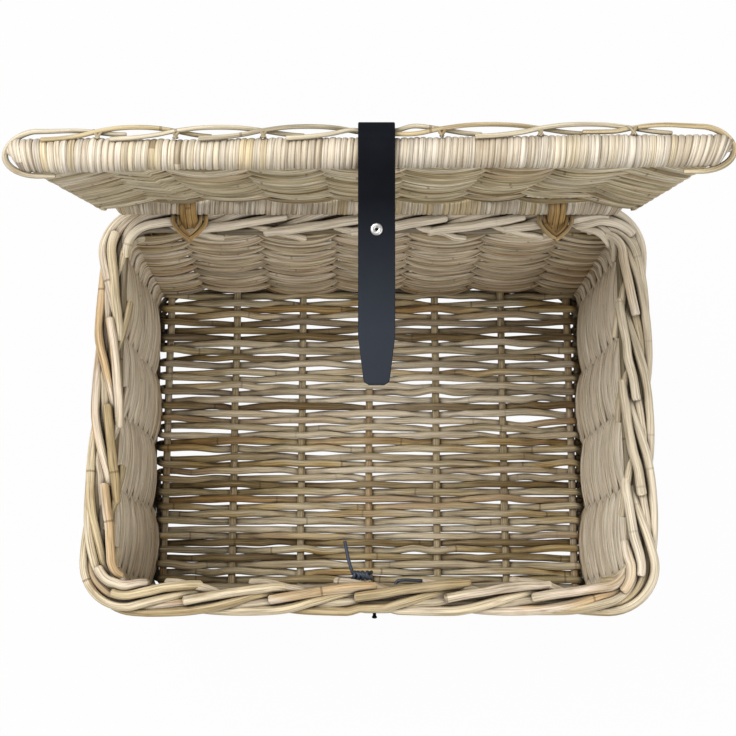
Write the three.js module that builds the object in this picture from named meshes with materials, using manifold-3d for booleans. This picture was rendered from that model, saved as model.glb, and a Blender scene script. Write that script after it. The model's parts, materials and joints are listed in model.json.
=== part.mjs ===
// Woven rattan bicycle basket with a lashed lid and a leather strap.
// Millimetres, +Z up, +X to the right, -Y is the front, where the strap closes.
import * as THREE from "three";
import { mergeVertices } from "three/addons/utils/BufferGeometryUtils.js";
import Module from "manifold-3d";

// Overall size of the basket
const RIM_WIDTH = 460;
const RIM_DEPTH = 340;
const RIM_HEIGHT = 252;
const CORNER_RADIUS = 28;
const CLEARANCE = 0.3;

// Frame ribs, side stakes and the hoop that the basket stands on
const RIB_COUNT = 7;
const RIB_RADIUS = 3.75;
const RIB_BEND = 4.5;
const RIB_INSET = 20.4;
const SIDE_STAKES = 4;
const SIDE_STAKE_INSET = 58;
const HOOP_THICKNESS = 3.6;
const HOOP_CHAMFER = 1.2;
const CORNER_STEPS = 4;

// Woven floor
const FLOOR_LIFT = 1;
const FLOOR_ROWS = 26;
const FLOOR_STRAND = 5;
const FLOOR_EDGE_GAP = 10;
const FLOOR_ROW_GAP = 1.2;

// Woven walls: two weavers that chase each other, one row each in turn
const WALL_ROWS = 12;
const WALL_STRAND = 5;
const WALL_ROW_GAP = 0.5;
const WALL_FLAT = 14;
const BORDER_SLOT = 4.8;

// Border: three strands that twist round each other along the rim
const BORDER_WIDTH = 28;
const BORDER_STRANDS = 3;
const BORDER_STRAND_RADIUS = 4.2;
const BORDER_RISE = 5.6;
const BORDER_TWISTS = 8;
const BORDER_STEPS = 64;

// Lid
const LID_WIDTH = 460;
const LID_LENGTH = 328.5;
const LID_LEAN = 10.9;
const HINGE_INSET = 4.5;
const FRONT_BAR_RADIUS = 10.4;
const REAR_BAR_RADIUS = 8;
const BAR_WRAP = 1.6;
const BAR_END = 10;
const BAR_INSET = 7;
const FRONT_WRAP_LOOPS = 24;
const REAR_WRAP_LOOPS = 20;
const WRAP_GAP = 1;
const SIDE_ROD_RADIUS = 4;
const LID_STAKE_COUNT = 7;
const LID_STAKE_LEFT = 38.2;
const LID_STAKE_RIGHT = 58.2;
const LID_STAKE_RADIUS = 3;
const LID_ROWS = 18;
const LID_STRAND = 4.6;
const LID_ROW_GAP = 0.6;
const LID_EDGE_MARGIN = 4.9;

// Edging rod that stands in scallops along the lid's front bar
const EDGING_RADIUS = 2.1;
const EDGING_RISE = 5.5;
const EDGING_PRESSED = 0.6;

// Cane lashings that tie the lid's rear bar to the border
const LASH_RADIUS = 1.2;
const LASH_LOOPS = 3;
const LASH_GAP = 0.6;
const LASH_FROM_LEFT_STAKE = 25;
const LASH_FROM_RIGHT_STAKE = 11;
const STRANDS_BETWEEN_LASHINGS = 5;

// Leather strap
const STRAP_X = 6;
const STRAP_WIDTH = 23;
const STRAP_THICKNESS = 3.2;
const STRAP_LENGTH = 164;
const STRAP_FIXED = 53;
const STRAP_TAPER = 30;
const STRAP_TIP_WIDTH = 15.5;
const STRAP_TIP_RADIUS = 3;
const SNAP_DISTANCE = 67.8;
const SNAP_CAP_RADIUS = 3.6;
const SNAP_SOCKET_RADIUS = 4.5;
const SNAP_POST_RADIUS = 1.5;
const SNAP_CAP_HEIGHT = 1.1;
const SNAP_CAP_RIM = 0.5;
const SNAP_SOCKET_HEIGHT = 2.2;
const SNAP_SOCKET_BORE = 2.6;
const SNAP_SOCKET_DEPTH = 1.4;
const SNAP_EDGE = 0.6;
const RIVET_RADIUS = 2;
const RIVET_HEAD_RADIUS = 4.5;
const RIVET_HEAD = 1.2;
const RIVET_COVER = 1;
const RIVET_MARGIN = 1.5;

// Catch on the front wall
const TAB_WIDTH = 22;
const TAB_HEIGHT = 36;
const TAB_THICKNESS = 2.4;
const TAB_RISE = 4;
const STUD_RADIUS = 2.2;
const STUD_POST_RADIUS = 1.4;
const STUD_FLANGE_RADIUS = 4;
const STUD_FLANGE = 0.7;
const STUD_REACH = 2.6;
const STUD_EDGE = 0.4;
const TIE_RADIUS = 1.1;
const TIE_LEFT_MARGIN = 3;
const TIE_RIGHT_MARGIN = 4;
const TIE_BEND = 3;
const TIE_TAIL = 34;
const TIE_TAIL_SWAY = 9;
const TIE_TAIL_SAG = 2;
const TIE_TAG = 20;

// Points nearer than this to each other are one point
const WELD = 1e-4;

// Sizes that follow from the driving dimensions
const WALL_X = RIM_WIDTH / 2 - BORDER_WIDTH / 2;
const WALL_Y = RIM_DEPTH / 2 - BORDER_WIDTH / 2;
const STRAIGHT_X = WALL_X - CORNER_RADIUS;
const STRAIGHT_Y = WALL_Y - CORNER_RADIUS;
const CORNER_ARC = (Math.PI / 2) * CORNER_RADIUS;
const PERIMETER = 4 * (STRAIGHT_X + STRAIGHT_Y + CORNER_ARC);
const RIB_PITCH = (2 * (WALL_X - RIB_INSET)) / (RIB_COUNT - 1);
const FLOOR_HEIGHT = FLOOR_LIFT + FLOOR_STRAND + CLEARANCE + RIB_RADIUS;
const BORDER_HEIGHT = RIM_HEIGHT - BORDER_RISE - BORDER_STRAND_RADIUS;
const BORDER_UNDERSIDE = BORDER_HEIGHT - BORDER_RISE - BORDER_STRAND_RADIUS;
const STAKE_TOP = BORDER_UNDERSIDE - CLEARANCE;
const WALL_BOTTOM = FLOOR_HEIGHT + RIB_RADIUS + CLEARANCE;
const WALL_TOP = BORDER_UNDERSIDE - BORDER_SLOT;
const ROW_PITCH = (WALL_TOP - WALL_BOTTOM) / WALL_ROWS;
const WALL_WAVE = RIB_RADIUS + CLEARANCE + WALL_STRAND / 2;
const WALL_OUTSIDE = WALL_WAVE + WALL_STRAND / 2;
const HINGE_Y = RIM_DEPTH / 2 - HINGE_INSET;
const HINGE_Z = RIM_HEIGHT + REAR_BAR_RADIUS + CLEARANCE;
const LID_OPENING = 90 - LID_LEAN;
const CLOSED_BAR = RIM_HEIGHT + 2 * CLEARANCE + 2 * EDGING_RADIUS + FRONT_BAR_RADIUS;
const SIDE_ROD_X = LID_WIDTH / 2 - LID_EDGE_MARGIN - SIDE_ROD_RADIUS - CLEARANCE - LID_STRAND;
const BAR_HALF = LID_WIDTH / 2 - BAR_INSET;
const LID_STAKE_PITCH = (2 * SIDE_ROD_X - LID_STAKE_LEFT - LID_STAKE_RIGHT) / (LID_STAKE_COUNT - 1);
const LASH_LEFT_X = lidStakeX(0) + LASH_FROM_LEFT_STAKE;
const LASH_RIGHT_X = lidStakeX(LID_STAKE_COUNT - 1) - LASH_FROM_RIGHT_STAKE;

const CANE = 0xc2ae8a;
const PALE_CANE = 0xd6c9ae;
const ROD = 0xb7a47c;
const AMBER_CANE = 0xb58a55;
const LEATHER = 0x20232b;
const NICKEL = 0xb9b7b0;

const wasm = await Module();
wasm.setup();

const basket = new THREE.Group();
const body = new THREE.Group();
const lid = new THREE.Group();
lid.position.set(0, HINGE_Y, HINGE_Z);
lid.rotation.x = -THREE.MathUtils.degToRad(LID_OPENING);
basket.add(body, lid);

function add(group, name, geometry, color, roughness = 0.7, metalness = 0) {
  const material = new THREE.MeshStandardMaterial({ color, roughness, metalness });
  const mesh = new THREE.Mesh(geometry, material);
  mesh.name = name;
  group.add(mesh);
}

// A point in the lid's own plane: across, forward from the hinge, and up from the lid's middle.
function lidPoint(across, forward, up) {
  return new THREE.Vector3(across, -forward, up);
}

function signedVolume(points, triangles) {
  const cross = new THREE.Vector3();
  let sum = 0;
  for (const [a, b, c] of triangles) sum += points[a].dot(cross.crossVectors(points[b], points[c]));
  return sum / 6;
}

// A skin through rings of points that all have the same number of points.
// A closed run joins its last ring to its first, and an open run gets a cap at each end.
function skin(rings, closed) {
  const sides = rings[0].length;
  const points = rings.flat();
  const triangles = [];
  const spans = closed ? rings.length : rings.length - 1;
  for (let i = 0; i < spans; i++) {
    const here = i * sides;
    const next = ((i + 1) % rings.length) * sides;
    for (let j = 0; j < sides; j++) {
      const k = (j + 1) % sides;
      triangles.push([here + j, here + k, next + k], [here + j, next + k, next + j]);
    }
  }
  if (!closed) {
    const last = (rings.length - 1) * sides;
    for (let j = 1; j < sides - 1; j++) {
      triangles.push([0, j + 1, j], [last, last + j, last + j + 1]);
    }
  }
  if (signedVolume(points, triangles) < 0) triangles.forEach((triangle) => triangle.reverse());
  const geometry = new THREE.BufferGeometry();
  geometry.setAttribute("position", new THREE.Float32BufferAttribute(points.flatMap((p) => p.toArray()), 3));
  geometry.setIndex(triangles.flat());
  return geometry;
}

// The four corners of a flat strand's section.
function flatSection(centre, wide, halfWidth, thick, halfThickness) {
  const corners = [
    [1, 1],
    [-1, 1],
    [-1, -1],
    [1, -1],
  ];
  return corners.map(([a, b]) =>
    centre.clone().addScaledVector(wide, a * halfWidth).addScaledVector(thick, b * halfThickness),
  );
}

// The points of a round strand's section, in the plane of the two directions given.
function roundSection(centre, first, second, radius, sides) {
  return Array.from({ length: sides }, (_, i) => {
    const angle = (2 * Math.PI * i) / sides;
    return centre
      .clone()
      .addScaledVector(first, radius * Math.cos(angle))
      .addScaledVector(second, radius * Math.sin(angle));
  });
}

// Shortest distance between stretches of a winding that lie half a turn or more apart.
function printLeastGap(name, rings, stepsPerLoop) {
  let least = Infinity;
  rings.forEach((ring, i) => {
    const end = Math.min(rings.length, i + 2 * stepsPerLoop);
    for (let j = i + stepsPerLoop / 2; j < end; j++) {
      for (const p of ring) for (const q of rings[j]) least = Math.min(least, p.distanceTo(q));
    }
  });
  console.log(`${name}: least gap to itself ${least.toFixed(2)} mm`);
}

// A path that passes through its points at even steps, so each section sits on a point.
class RodPath extends THREE.Curve {
  constructor(points) {
    super();
    this.points = points;
  }
  getPoint(t) {
    const place = t * (this.points.length - 1);
    const i = Math.min(Math.floor(place), this.points.length - 2);
    return this.points[i].clone().lerp(this.points[i + 1], place - i);
  }
  getPointAt(t) {
    return this.getPoint(t);
  }
  getTangentAt(t) {
    const i = Math.round(t * (this.points.length - 1));
    const before = this.points[Math.max(i - 1, 0)];
    const after = this.points[Math.min(i + 1, this.points.length - 1)];
    return after.clone().sub(before).normalize();
  }
}

// A round rod along a run of points.
function rod(points, radius, sides) {
  const outline = Array.from({ length: sides }, (_, i) => {
    const angle = (2 * Math.PI * i) / sides;
    return new THREE.Vector2(radius * Math.cos(angle), radius * Math.sin(angle));
  });
  return new THREE.ExtrudeGeometry(new THREE.Shape(outline), {
    steps: points.length - 1,
    extrudePath: new RodPath(points),
    bevelEnabled: false,
  });
}

// A straight rod between two points.
function straightRod(from, to, radius, sides = 6) {
  return rod([from, to], radius, sides);
}

// A solid turned about an axis: the profile gives radius and distance along the axis.
function turned(profile, origin, axis, sides = 16) {
  const geometry = new THREE.LatheGeometry(profile.map(([r, h]) => new THREE.Vector2(r, h)), sides);
  const turn = new THREE.Quaternion().setFromUnitVectors(new THREE.Vector3(0, 1, 0), axis);
  return geometry.applyQuaternion(turn).translate(origin.x, origin.y, origin.z);
}

function solid(geometry) {
  const bare = new THREE.BufferGeometry();
  bare.setAttribute("position", geometry.getAttribute("position"));
  bare.setIndex(geometry.index);
  const merged = mergeVertices(bare, WELD);
  return new wasm.Manifold(
    new wasm.Mesh({
      numProp: 3,
      vertProperties: new Float32Array(merged.getAttribute("position").array),
      triVerts: new Uint32Array(merged.index.array),
    }),
  );
}

function geometryOf(manifold) {
  const mesh = manifold.getMesh();
  const geometry = new THREE.BufferGeometry();
  geometry.setAttribute("position", new THREE.BufferAttribute(mesh.vertProperties, 3));
  geometry.setIndex(new THREE.BufferAttribute(mesh.triVerts, 1));
  return geometry;
}

// The wall's middle line seen from above: a rounded rectangle, measured clockwise
// from the middle of the back. Gives the point and the outward direction there.
function wallLine(station) {
  const half = PERIMETER / 2;
  const s = ((station % PERIMETER) + PERIMETER) % PERIMETER;
  const mirrored = s > half;
  const d = mirrored ? PERIMETER - s : s;
  const point = new THREE.Vector3();
  const outward = new THREE.Vector3();
  const sideStart = STRAIGHT_X + CORNER_ARC;
  const frontCorner = sideStart + 2 * STRAIGHT_Y;
  const frontStart = frontCorner + CORNER_ARC;
  if (d <= STRAIGHT_X) {
    outward.set(0, 1, 0);
    point.set(d, WALL_Y, 0);
  } else if (d <= sideStart) {
    const turn = (d - STRAIGHT_X) / CORNER_RADIUS;
    outward.set(Math.sin(turn), Math.cos(turn), 0);
    point.set(STRAIGHT_X, STRAIGHT_Y, 0).addScaledVector(outward, CORNER_RADIUS);
  } else if (d <= frontCorner) {
    outward.set(1, 0, 0);
    point.set(WALL_X, STRAIGHT_Y - (d - sideStart), 0);
  } else if (d <= frontStart) {
    const turn = (d - frontCorner) / CORNER_RADIUS;
    outward.set(Math.cos(turn), -Math.sin(turn), 0);
    point.set(STRAIGHT_X, -STRAIGHT_Y, 0).addScaledVector(outward, CORNER_RADIUS);
  } else {
    outward.set(0, -1, 0);
    point.set(STRAIGHT_X - (d - frontStart), -WALL_Y, 0);
  }
  if (mirrored) {
    point.x = -point.x;
    outward.x = -outward.x;
  }
  return { point, outward };
}

// Where a rib that stands at this distance from the middle meets the back wall's line.
function stationOfRib(x) {
  if (x <= STRAIGHT_X) return x;
  return STRAIGHT_X + CORNER_RADIUS * Math.asin((x - STRAIGHT_X) / CORNER_RADIUS);
}

function ribX(i) {
  return (i - (RIB_COUNT - 1) / 2) * RIB_PITCH;
}

function sideStakeY(i) {
  const outermost = WALL_Y - SIDE_STAKE_INSET;
  return outermost - (2 * outermost * i) / (SIDE_STAKES - 1);
}

// Every upright that the walls are woven round, in order along the wall line.
function uprightStations() {
  const stations = [];
  const halfCount = (RIB_COUNT - 1) / 2;
  for (let i = 0; i <= halfCount; i++) {
    stations.push({ at: stationOfRib(i * RIB_PITCH), corner: i === halfCount });
  }
  for (let i = 0; i < SIDE_STAKES; i++) {
    stations.push({ at: STRAIGHT_X + CORNER_ARC + STRAIGHT_Y - sideStakeY(i), corner: false });
  }
  for (let i = halfCount; i > 0; i--) {
    stations.push({ at: PERIMETER / 2 - stationOfRib(i * RIB_PITCH), corner: i === halfCount });
  }
  const otherSide = stations.slice(1).map(({ at, corner }) => ({ at: PERIMETER - at, corner }));
  return [...stations, { at: PERIMETER / 2, corner: false }, ...otherSide.reverse()];
}

function addRibs() {
  for (let i = 0; i < RIB_COUNT; i++) {
    const x = ribX(i);
    const end = wallLine(stationOfRib(Math.abs(x))).point.y;
    const half = [new THREE.Vector3(x, end, STAKE_TOP)];
    for (const turn of [0, 30, 60, 90]) {
      const angle = THREE.MathUtils.degToRad(turn);
      const y = end - RIB_BEND * (1 - Math.cos(angle));
      half.push(new THREE.Vector3(x, y, FLOOR_HEIGHT + RIB_BEND * (1 - Math.sin(angle))));
    }
    const otherHalf = half.map((p) => new THREE.Vector3(p.x, -p.y, p.z)).reverse();
    add(body, `frame_rib_${i + 1}`, rod([...half, ...otherHalf], RIB_RADIUS, 6), ROD);
  }
}

function addSideStakes() {
  for (const [side, name] of [[-1, "left"], [1, "right"]]) {
    for (let i = 0; i < SIDE_STAKES; i++) {
      const foot = new THREE.Vector3(side * WALL_X, sideStakeY(i), FLOOR_LIFT);
      const top = foot.clone().setZ(STAKE_TOP);
      add(body, `side_stake_${name}_${i + 1}`, straightRod(foot, top, RIB_RADIUS), ROD);
    }
  }
}

// The hoop lies outside the uprights, flat on the ground, and the walls begin on it.
function addFootHoop() {
  const top = WALL_BOTTOM - CLEARANCE;
  const inner = RIB_RADIUS + CLEARANCE;
  const outer = inner + HOOP_THICKNESS;
  const section = [
    [inner, 0],
    [outer - HOOP_CHAMFER, 0],
    [outer, HOOP_CHAMFER],
    [outer, top - HOOP_CHAMFER],
    [outer - HOOP_CHAMFER, top],
    [inner, top],
  ];
  const backCorner = STRAIGHT_X;
  const frontCorner = STRAIGHT_X + CORNER_ARC + 2 * STRAIGHT_Y;
  const stations = [];
  for (const half of [0, PERIMETER / 2]) {
    for (const corner of [backCorner, frontCorner]) {
      for (let i = 0; i <= CORNER_STEPS; i++) stations.push(half + corner + (CORNER_ARC * i) / CORNER_STEPS);
    }
  }
  const rings = stations.map((station) => {
    const { point, outward } = wallLine(station);
    return section.map(([out, z]) => point.clone().addScaledVector(outward, out).setZ(z));
  });
  add(body, "foot_hoop", skin(rings, true), ROD);
}

// One long strand that runs to and fro over and under a row of posts and turns round the
// outermost post at each end. place() puts (across, along the posts, up) into the part.
function wovenSheet({ posts, radius, strand, rows, pitch, width, start, place }) {
  const crest = radius + CLEARANCE + strand / 2;
  const roundTurn = (radius + CLEARANCE) / Math.cos(Math.PI / 8) + strand / 2;
  const origin = place(0, 0, 0);
  const along = place(0, 1, 0).sub(origin);
  const rings = [];
  function section(across, at, up, thickX, thickUp) {
    const thick = place(thickX, 0, thickUp).sub(origin).normalize();
    rings.push(flatSection(place(across, at, up), along, width / 2, thick, strand / 2));
  }
  for (let row = 0; row < rows; row++) {
    const at = start + row * pitch;
    const forward = row % 2 === 0;
    const facing = forward ? 1 : -1;
    const order = forward ? posts.map((_, k) => k) : posts.map((_, k) => posts.length - 1 - k);
    for (const k of order) {
      const side = (k + row) % 2 === 0 ? 1 : -1;
      section(posts[k], at, side * crest, 0, facing);
    }
    if (row === rows - 1) break;
    const lastPost = forward ? posts.length - 1 : 0;
    const side = (lastPost + row) % 2 === 0 ? 1 : -1;
    for (const turn of [45, 0, -45]) {
      const angle = THREE.MathUtils.degToRad(turn);
      const outX = facing * Math.cos(angle);
      const outUp = side * Math.sin(angle);
      const step = (90 - turn) / 180;
      const sign = facing * side;
      const across = posts[lastPost] + roundTurn * outX;
      section(across, at + pitch * step, roundTurn * outUp, sign * outX, sign * outUp);
    }
  }
  return skin(rings, false);
}

function addFloor() {
  const halfDepth = WALL_Y - WALL_OUTSIDE - FLOOR_EDGE_GAP / 2;
  const pitch = (2 * halfDepth) / (FLOOR_ROWS - 1);
  const sheet = wovenSheet({
    posts: Array.from({ length: RIB_COUNT }, (_, i) => ribX(i)),
    radius: RIB_RADIUS,
    strand: FLOOR_STRAND,
    rows: FLOOR_ROWS,
    pitch,
    width: pitch - FLOOR_ROW_GAP,
    start: -halfDepth,
    place: (across, along, up) => new THREE.Vector3(across, along, FLOOR_HEIGHT + up),
  });
  add(body, "floor_weaver", sheet, CANE);
}

// One of the two wall weavers. It keeps level, passes outside every second upright, and
// climbs two rows at a time on the outside of the upright that it started from.
function wallWeaver(firstRow) {
  const uprights = uprightStations();
  const turns = WALL_ROWS / 2;
  const startPast = 1.5;
  const rings = [];
  const up = new THREE.Vector3(0, 0, 1);
  const halfHeight = (ROW_PITCH - WALL_ROW_GAP) / 2;
  function section(station, offset, row) {
    const { point, outward } = wallLine(station);
    point.addScaledVector(outward, offset).setZ(WALL_BOTTOM + (row + 0.5) * ROW_PITCH);
    rings.push(flatSection(point, up, halfHeight, outward, WALL_STRAND / 2));
  }
  const count = uprights.length;
  for (let step = 0; step <= turns * count; step++) {
    const index = (firstRow + step) % count;
    const turn = Math.floor(step / count);
    const { at, corner } = uprights[index];
    const offset = (index + firstRow) % 2 === 0 ? WALL_WAVE : -WALL_WAVE;
    const row = firstRow + 2 * Math.min(turn, turns - 1);
    const climbing = step > 0 && step % count === 0 && turn < turns;
    if (step === 0) section(at + startPast, offset, row);
    else section(at - WALL_FLAT, offset, climbing ? row - 2 : row);
    if (step === turns * count) {
      section(at - startPast, offset, row);
      break;
    }
    if (corner) section(at, offset, row);
    section(at + WALL_FLAT, offset, row);
    const next = uprights[(index + 1) % count];
    const gap = (next.at - at + PERIMETER) % PERIMETER;
    const left = wallLine(at + WALL_FLAT).outward;
    const reached = wallLine(next.at - WALL_FLAT).outward;
    if (left.angleTo(reached) > Math.PI / 8) section(at + gap / 2, 0, row);
  }
  return skin(rings, false);
}

function addWalls() {
  add(body, "wall_weaver_first", wallWeaver(0), CANE);
  add(body, "wall_weaver_second", wallWeaver(1), CANE);
}

// How many strands have passed the outer edge, counted clockwise from the left lashing. A strand
// lies outermost at each lashing, and the twist between them is spread evenly.
function strandsPassed(station) {
  const from = (((station - LASH_LEFT_X) % PERIMETER) + PERIMETER) % PERIMETER;
  const between = LASH_RIGHT_X - LASH_LEFT_X;
  if (from <= between) return (STRANDS_BETWEEN_LASHINGS * from) / between;
  const others = BORDER_TWISTS * BORDER_STRANDS - STRANDS_BETWEEN_LASHINGS;
  return STRANDS_BETWEEN_LASHINGS + (others * (from - between)) / (PERIMETER - between);
}

function borderPhase(station, strand) {
  return (2 * Math.PI * (strand - strandsPassed(station))) / BORDER_STRANDS;
}

function borderStrandCentre(station, strand) {
  const { point, outward } = wallLine(station);
  const phase = borderPhase(station, strand);
  const sway = BORDER_WIDTH / 2 - BORDER_STRAND_RADIUS;
  point.addScaledVector(outward, sway * Math.cos(phase)).setZ(BORDER_HEIGHT + BORDER_RISE * Math.sin(phase));
  return { point, outward };
}

function addBorder() {
  const up = new THREE.Vector3(0, 0, 1);
  for (let strand = 0; strand < BORDER_STRANDS; strand++) {
    const rings = Array.from({ length: BORDER_STEPS }, (_, i) => {
      const { point, outward } = borderStrandCentre((PERIMETER * i) / BORDER_STEPS, strand);
      return roundSection(point, outward, up, BORDER_STRAND_RADIUS, 6);
    });
    add(body, `border_strand_${strand + 1}`, skin(rings, true), PALE_CANE);
  }
}

// A winding round a bar that lies along X. The band is flat and leaves a small gap to itself.
function barWrap(name, barRadius, forward, loops, steps) {
  const wrapHalf = BAR_HALF - BAR_END;
  const pitch = (2 * wrapHalf) / (loops + 1);
  const halfWidth = (pitch - WRAP_GAP) / 2;
  const across = new THREE.Vector3(1, 0, 0);
  const rings = [];
  for (let i = 0; i <= loops * steps; i++) {
    const angle = (2 * Math.PI * i) / steps;
    const outward = new THREE.Vector3(0, Math.cos(angle), Math.sin(angle));
    const x = -wrapHalf + pitch / 2 + (pitch * i) / steps;
    const centre = lidPoint(x, forward, 0).addScaledVector(outward, barRadius - BAR_WRAP / 2);
    rings.push(flatSection(centre, across, halfWidth, outward, BAR_WRAP / 2));
  }
  printLeastGap(name, rings, steps);
  return skin(rings, false);
}

// The core of a bar, with round ends. It stays clear of the flats of the band wound on it.
function barCore(barRadius, forward, steps) {
  const radius = (barRadius - BAR_WRAP) * Math.cos(Math.PI / steps) - CLEARANCE;
  const profile = [[0, -BAR_HALF]];
  const curve = [60, 30, 0];
  for (const turn of curve) {
    const angle = THREE.MathUtils.degToRad(turn);
    profile.push([radius * Math.cos(angle), -BAR_HALF + BAR_END * (1 - Math.sin(angle))]);
  }
  const otherEnd = profile.map(([r, h]) => [r, -h]).reverse();
  return turned([...profile, ...otherEnd], lidPoint(0, forward, 0), new THREE.Vector3(1, 0, 0));
}

function addLidBars() {
  const frontSteps = 10;
  const rearSteps = 8;
  add(lid, "lid_front_bar", barCore(FRONT_BAR_RADIUS, LID_LENGTH, frontSteps), ROD);
  add(lid, "lid_rear_bar", barCore(REAR_BAR_RADIUS, 0, rearSteps), ROD);
  const front = barWrap("front bar wrap", FRONT_BAR_RADIUS, LID_LENGTH, FRONT_WRAP_LOOPS, frontSteps);
  const rear = barWrap("rear bar wrap", REAR_BAR_RADIUS, 0, REAR_WRAP_LOOPS, rearSteps);
  add(lid, "lid_front_wrap", front, PALE_CANE);
  add(lid, "lid_rear_wrap", rear, PALE_CANE);
}

function lidStakeX(i) {
  return -SIDE_ROD_X + LID_STAKE_LEFT + i * LID_STAKE_PITCH;
}

function addLidPanel() {
  const rearSeat = REAR_BAR_RADIUS + CLEARANCE;
  const frontSeat = LID_LENGTH - FRONT_BAR_RADIUS - CLEARANCE;
  const stakes = Array.from({ length: LID_STAKE_COUNT }, (_, i) => lidStakeX(i));
  stakes.forEach((x, i) => {
    const stake = straightRod(lidPoint(x, rearSeat, 0), lidPoint(x, frontSeat, 0), LID_STAKE_RADIUS);
    add(lid, `lid_stake_${i + 1}`, stake, ROD);
  });
  for (const [side, name] of [[-1, "left"], [1, "right"]]) {
    const x = side * SIDE_ROD_X;
    const sideRod = straightRod(lidPoint(x, rearSeat, 0), lidPoint(x, frontSeat, 0), SIDE_ROD_RADIUS);
    add(lid, `lid_side_rod_${name}`, sideRod, ROD);
  }
  const first = REAR_BAR_RADIUS + 2 * CLEARANCE + 2 * LASH_RADIUS + 4 * CLEARANCE;
  const last = LID_LENGTH - FRONT_BAR_RADIUS - STRAP_THICKNESS - 3 * CLEARANCE;
  const pitch = (last - first) / LID_ROWS;
  const weaver = wovenSheet({
    posts: [-SIDE_ROD_X, ...stakes, SIDE_ROD_X],
    radius: SIDE_ROD_RADIUS,
    strand: LID_STRAND,
    rows: LID_ROWS,
    pitch,
    width: pitch - LID_ROW_GAP,
    start: first + pitch / 2,
    place: lidPoint,
  });
  add(lid, "lid_weaver", weaver, CANE);
}

// The edging rod lies on the front bar at each lid stake, stands off between them, and
// turns round the bar's ends to finish underneath. Under the strap it is pressed flat.
function addEdging() {
  const low = FRONT_BAR_RADIUS + CLEARANCE + EDGING_RADIUS;
  const endX = BAR_HALF - BAR_END;
  const nodes = [-endX, ...Array.from({ length: LID_STAKE_COUNT }, (_, i) => lidStakeX(i)), endX];
  const endReach = LID_WIDTH / 2 - EDGING_RADIUS - endX;
  const points = [];
  function endTurn(side, order) {
    for (const turn of order) {
      const angle = THREE.MathUtils.degToRad(turn);
      points.push(lidPoint(side * (endX + endReach * Math.cos(angle)), LID_LENGTH, low * Math.sin(angle)));
    }
  }
  points.push(lidPoint(-endX + 2 * EDGING_RADIUS, LID_LENGTH, -low));
  endTurn(-1, [-90, -60, -30, 0, 30, 60]);
  const stepsPerScallop = 6;
  for (let i = 0; i < nodes.length - 1; i++) {
    const pressed = nodes[i] < STRAP_X && nodes[i + 1] > STRAP_X;
    const rise = pressed ? EDGING_PRESSED : EDGING_RISE;
    for (let k = 0; k < stepsPerScallop; k++) {
      const t = k / stepsPerScallop;
      const x = THREE.MathUtils.lerp(nodes[i], nodes[i + 1], t);
      points.push(lidPoint(x, LID_LENGTH, low + rise * Math.sin(Math.PI * t) ** 2));
    }
  }
  endTurn(1, [90, 60, 30, 0, -30, -60, -90]);
  points.push(lidPoint(endX - 2 * EDGING_RADIUS, LID_LENGTH, -low));
  add(lid, "lid_edging_rod", rod(points, EDGING_RADIUS, 6), PALE_CANE);
}

// Cane loops round the lid's rear bar and the border strand that runs outermost there.
// A loop is the outline of the two rods held together.
function addLashings() {
  const sides = 5;
  const steps = 16;
  const reach = CLEARANCE + LASH_RADIUS;
  const pitch = 2 * LASH_RADIUS + LASH_GAP;
  const halfSpan = (LASH_LOOPS * pitch) / 2 + LASH_RADIUS;
  const strandDrift = BORDER_RISE * Math.sin((2 * Math.PI * BORDER_TWISTS * halfSpan) / PERIMETER);
  for (const [middle, name] of [[LASH_LEFT_X, "left"], [LASH_RIGHT_X, "right"]]) {
    const strandY = WALL_Y + BORDER_WIDTH / 2 - BORDER_STRAND_RADIUS;
    const rods = [
      { y: HINGE_Y, z: HINGE_Z, radius: REAR_BAR_RADIUS + reach + CLEARANCE },
      { y: strandY, z: BORDER_HEIGHT, radius: BORDER_STRAND_RADIUS + reach + strandDrift },
    ];
    const across = new THREE.Vector3(1, 0, 0);
    const rings = [];
    for (let i = 0; i <= LASH_LOOPS * steps; i++) {
      const angle = (2 * Math.PI * (i + 0.5)) / steps;
      const outward = new THREE.Vector3(0, Math.cos(angle), Math.sin(angle));
      const points = rods.map(({ y, z, radius }) => {
        return new THREE.Vector3(0, y, z).addScaledVector(outward, radius);
      });
      const far = points.reduce((best, p) => (p.dot(outward) > best.dot(outward) ? p : best));
      far.x = middle + pitch * (i / steps - LASH_LOOPS / 2);
      rings.push(roundSection(far, outward, across, LASH_RADIUS, sides));
    }
    printLeastGap(`hinge lashing ${name}`, rings, steps);
    add(body, `hinge_lashing_${name}`, skin(rings, false), AMBER_CANE);
  }
}

// Places on the strap, measured in the lid's own plane.
const PRESSED_TOP = FRONT_BAR_RADIUS + CLEARANCE + 2 * EDGING_RADIUS + EDGING_PRESSED;
const STRAP_TOP = PRESSED_TOP + CLEARANCE + STRAP_THICKNESS;
const STRAP_FORWARD = LID_LENGTH + FRONT_BAR_RADIUS + CLEARANCE + STRAP_THICKNESS / 2;
const STRAP_JOINT_UP = STRAP_TOP - STRAP_FIXED - CLEARANCE - STRAP_THICKNESS / 2;
const STRAP_TIP_UP = STRAP_TOP - STRAP_LENGTH;
const SNAP_UP = STRAP_TOP - SNAP_DISTANCE;
const RIVET_UP = STRAP_TOP - STRAP_FIXED + RIVET_HEAD_RADIUS + RIVET_MARGIN;

// Angles round the front bar at which the loop bends, below the bar and behind it, then above it
const LOOP_TURNS_BELOW = [-62, -90, -120, -150, -180, -210];
const LOOP_TURNS_ABOVE = [125, 100, 75, 52, 30];

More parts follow.
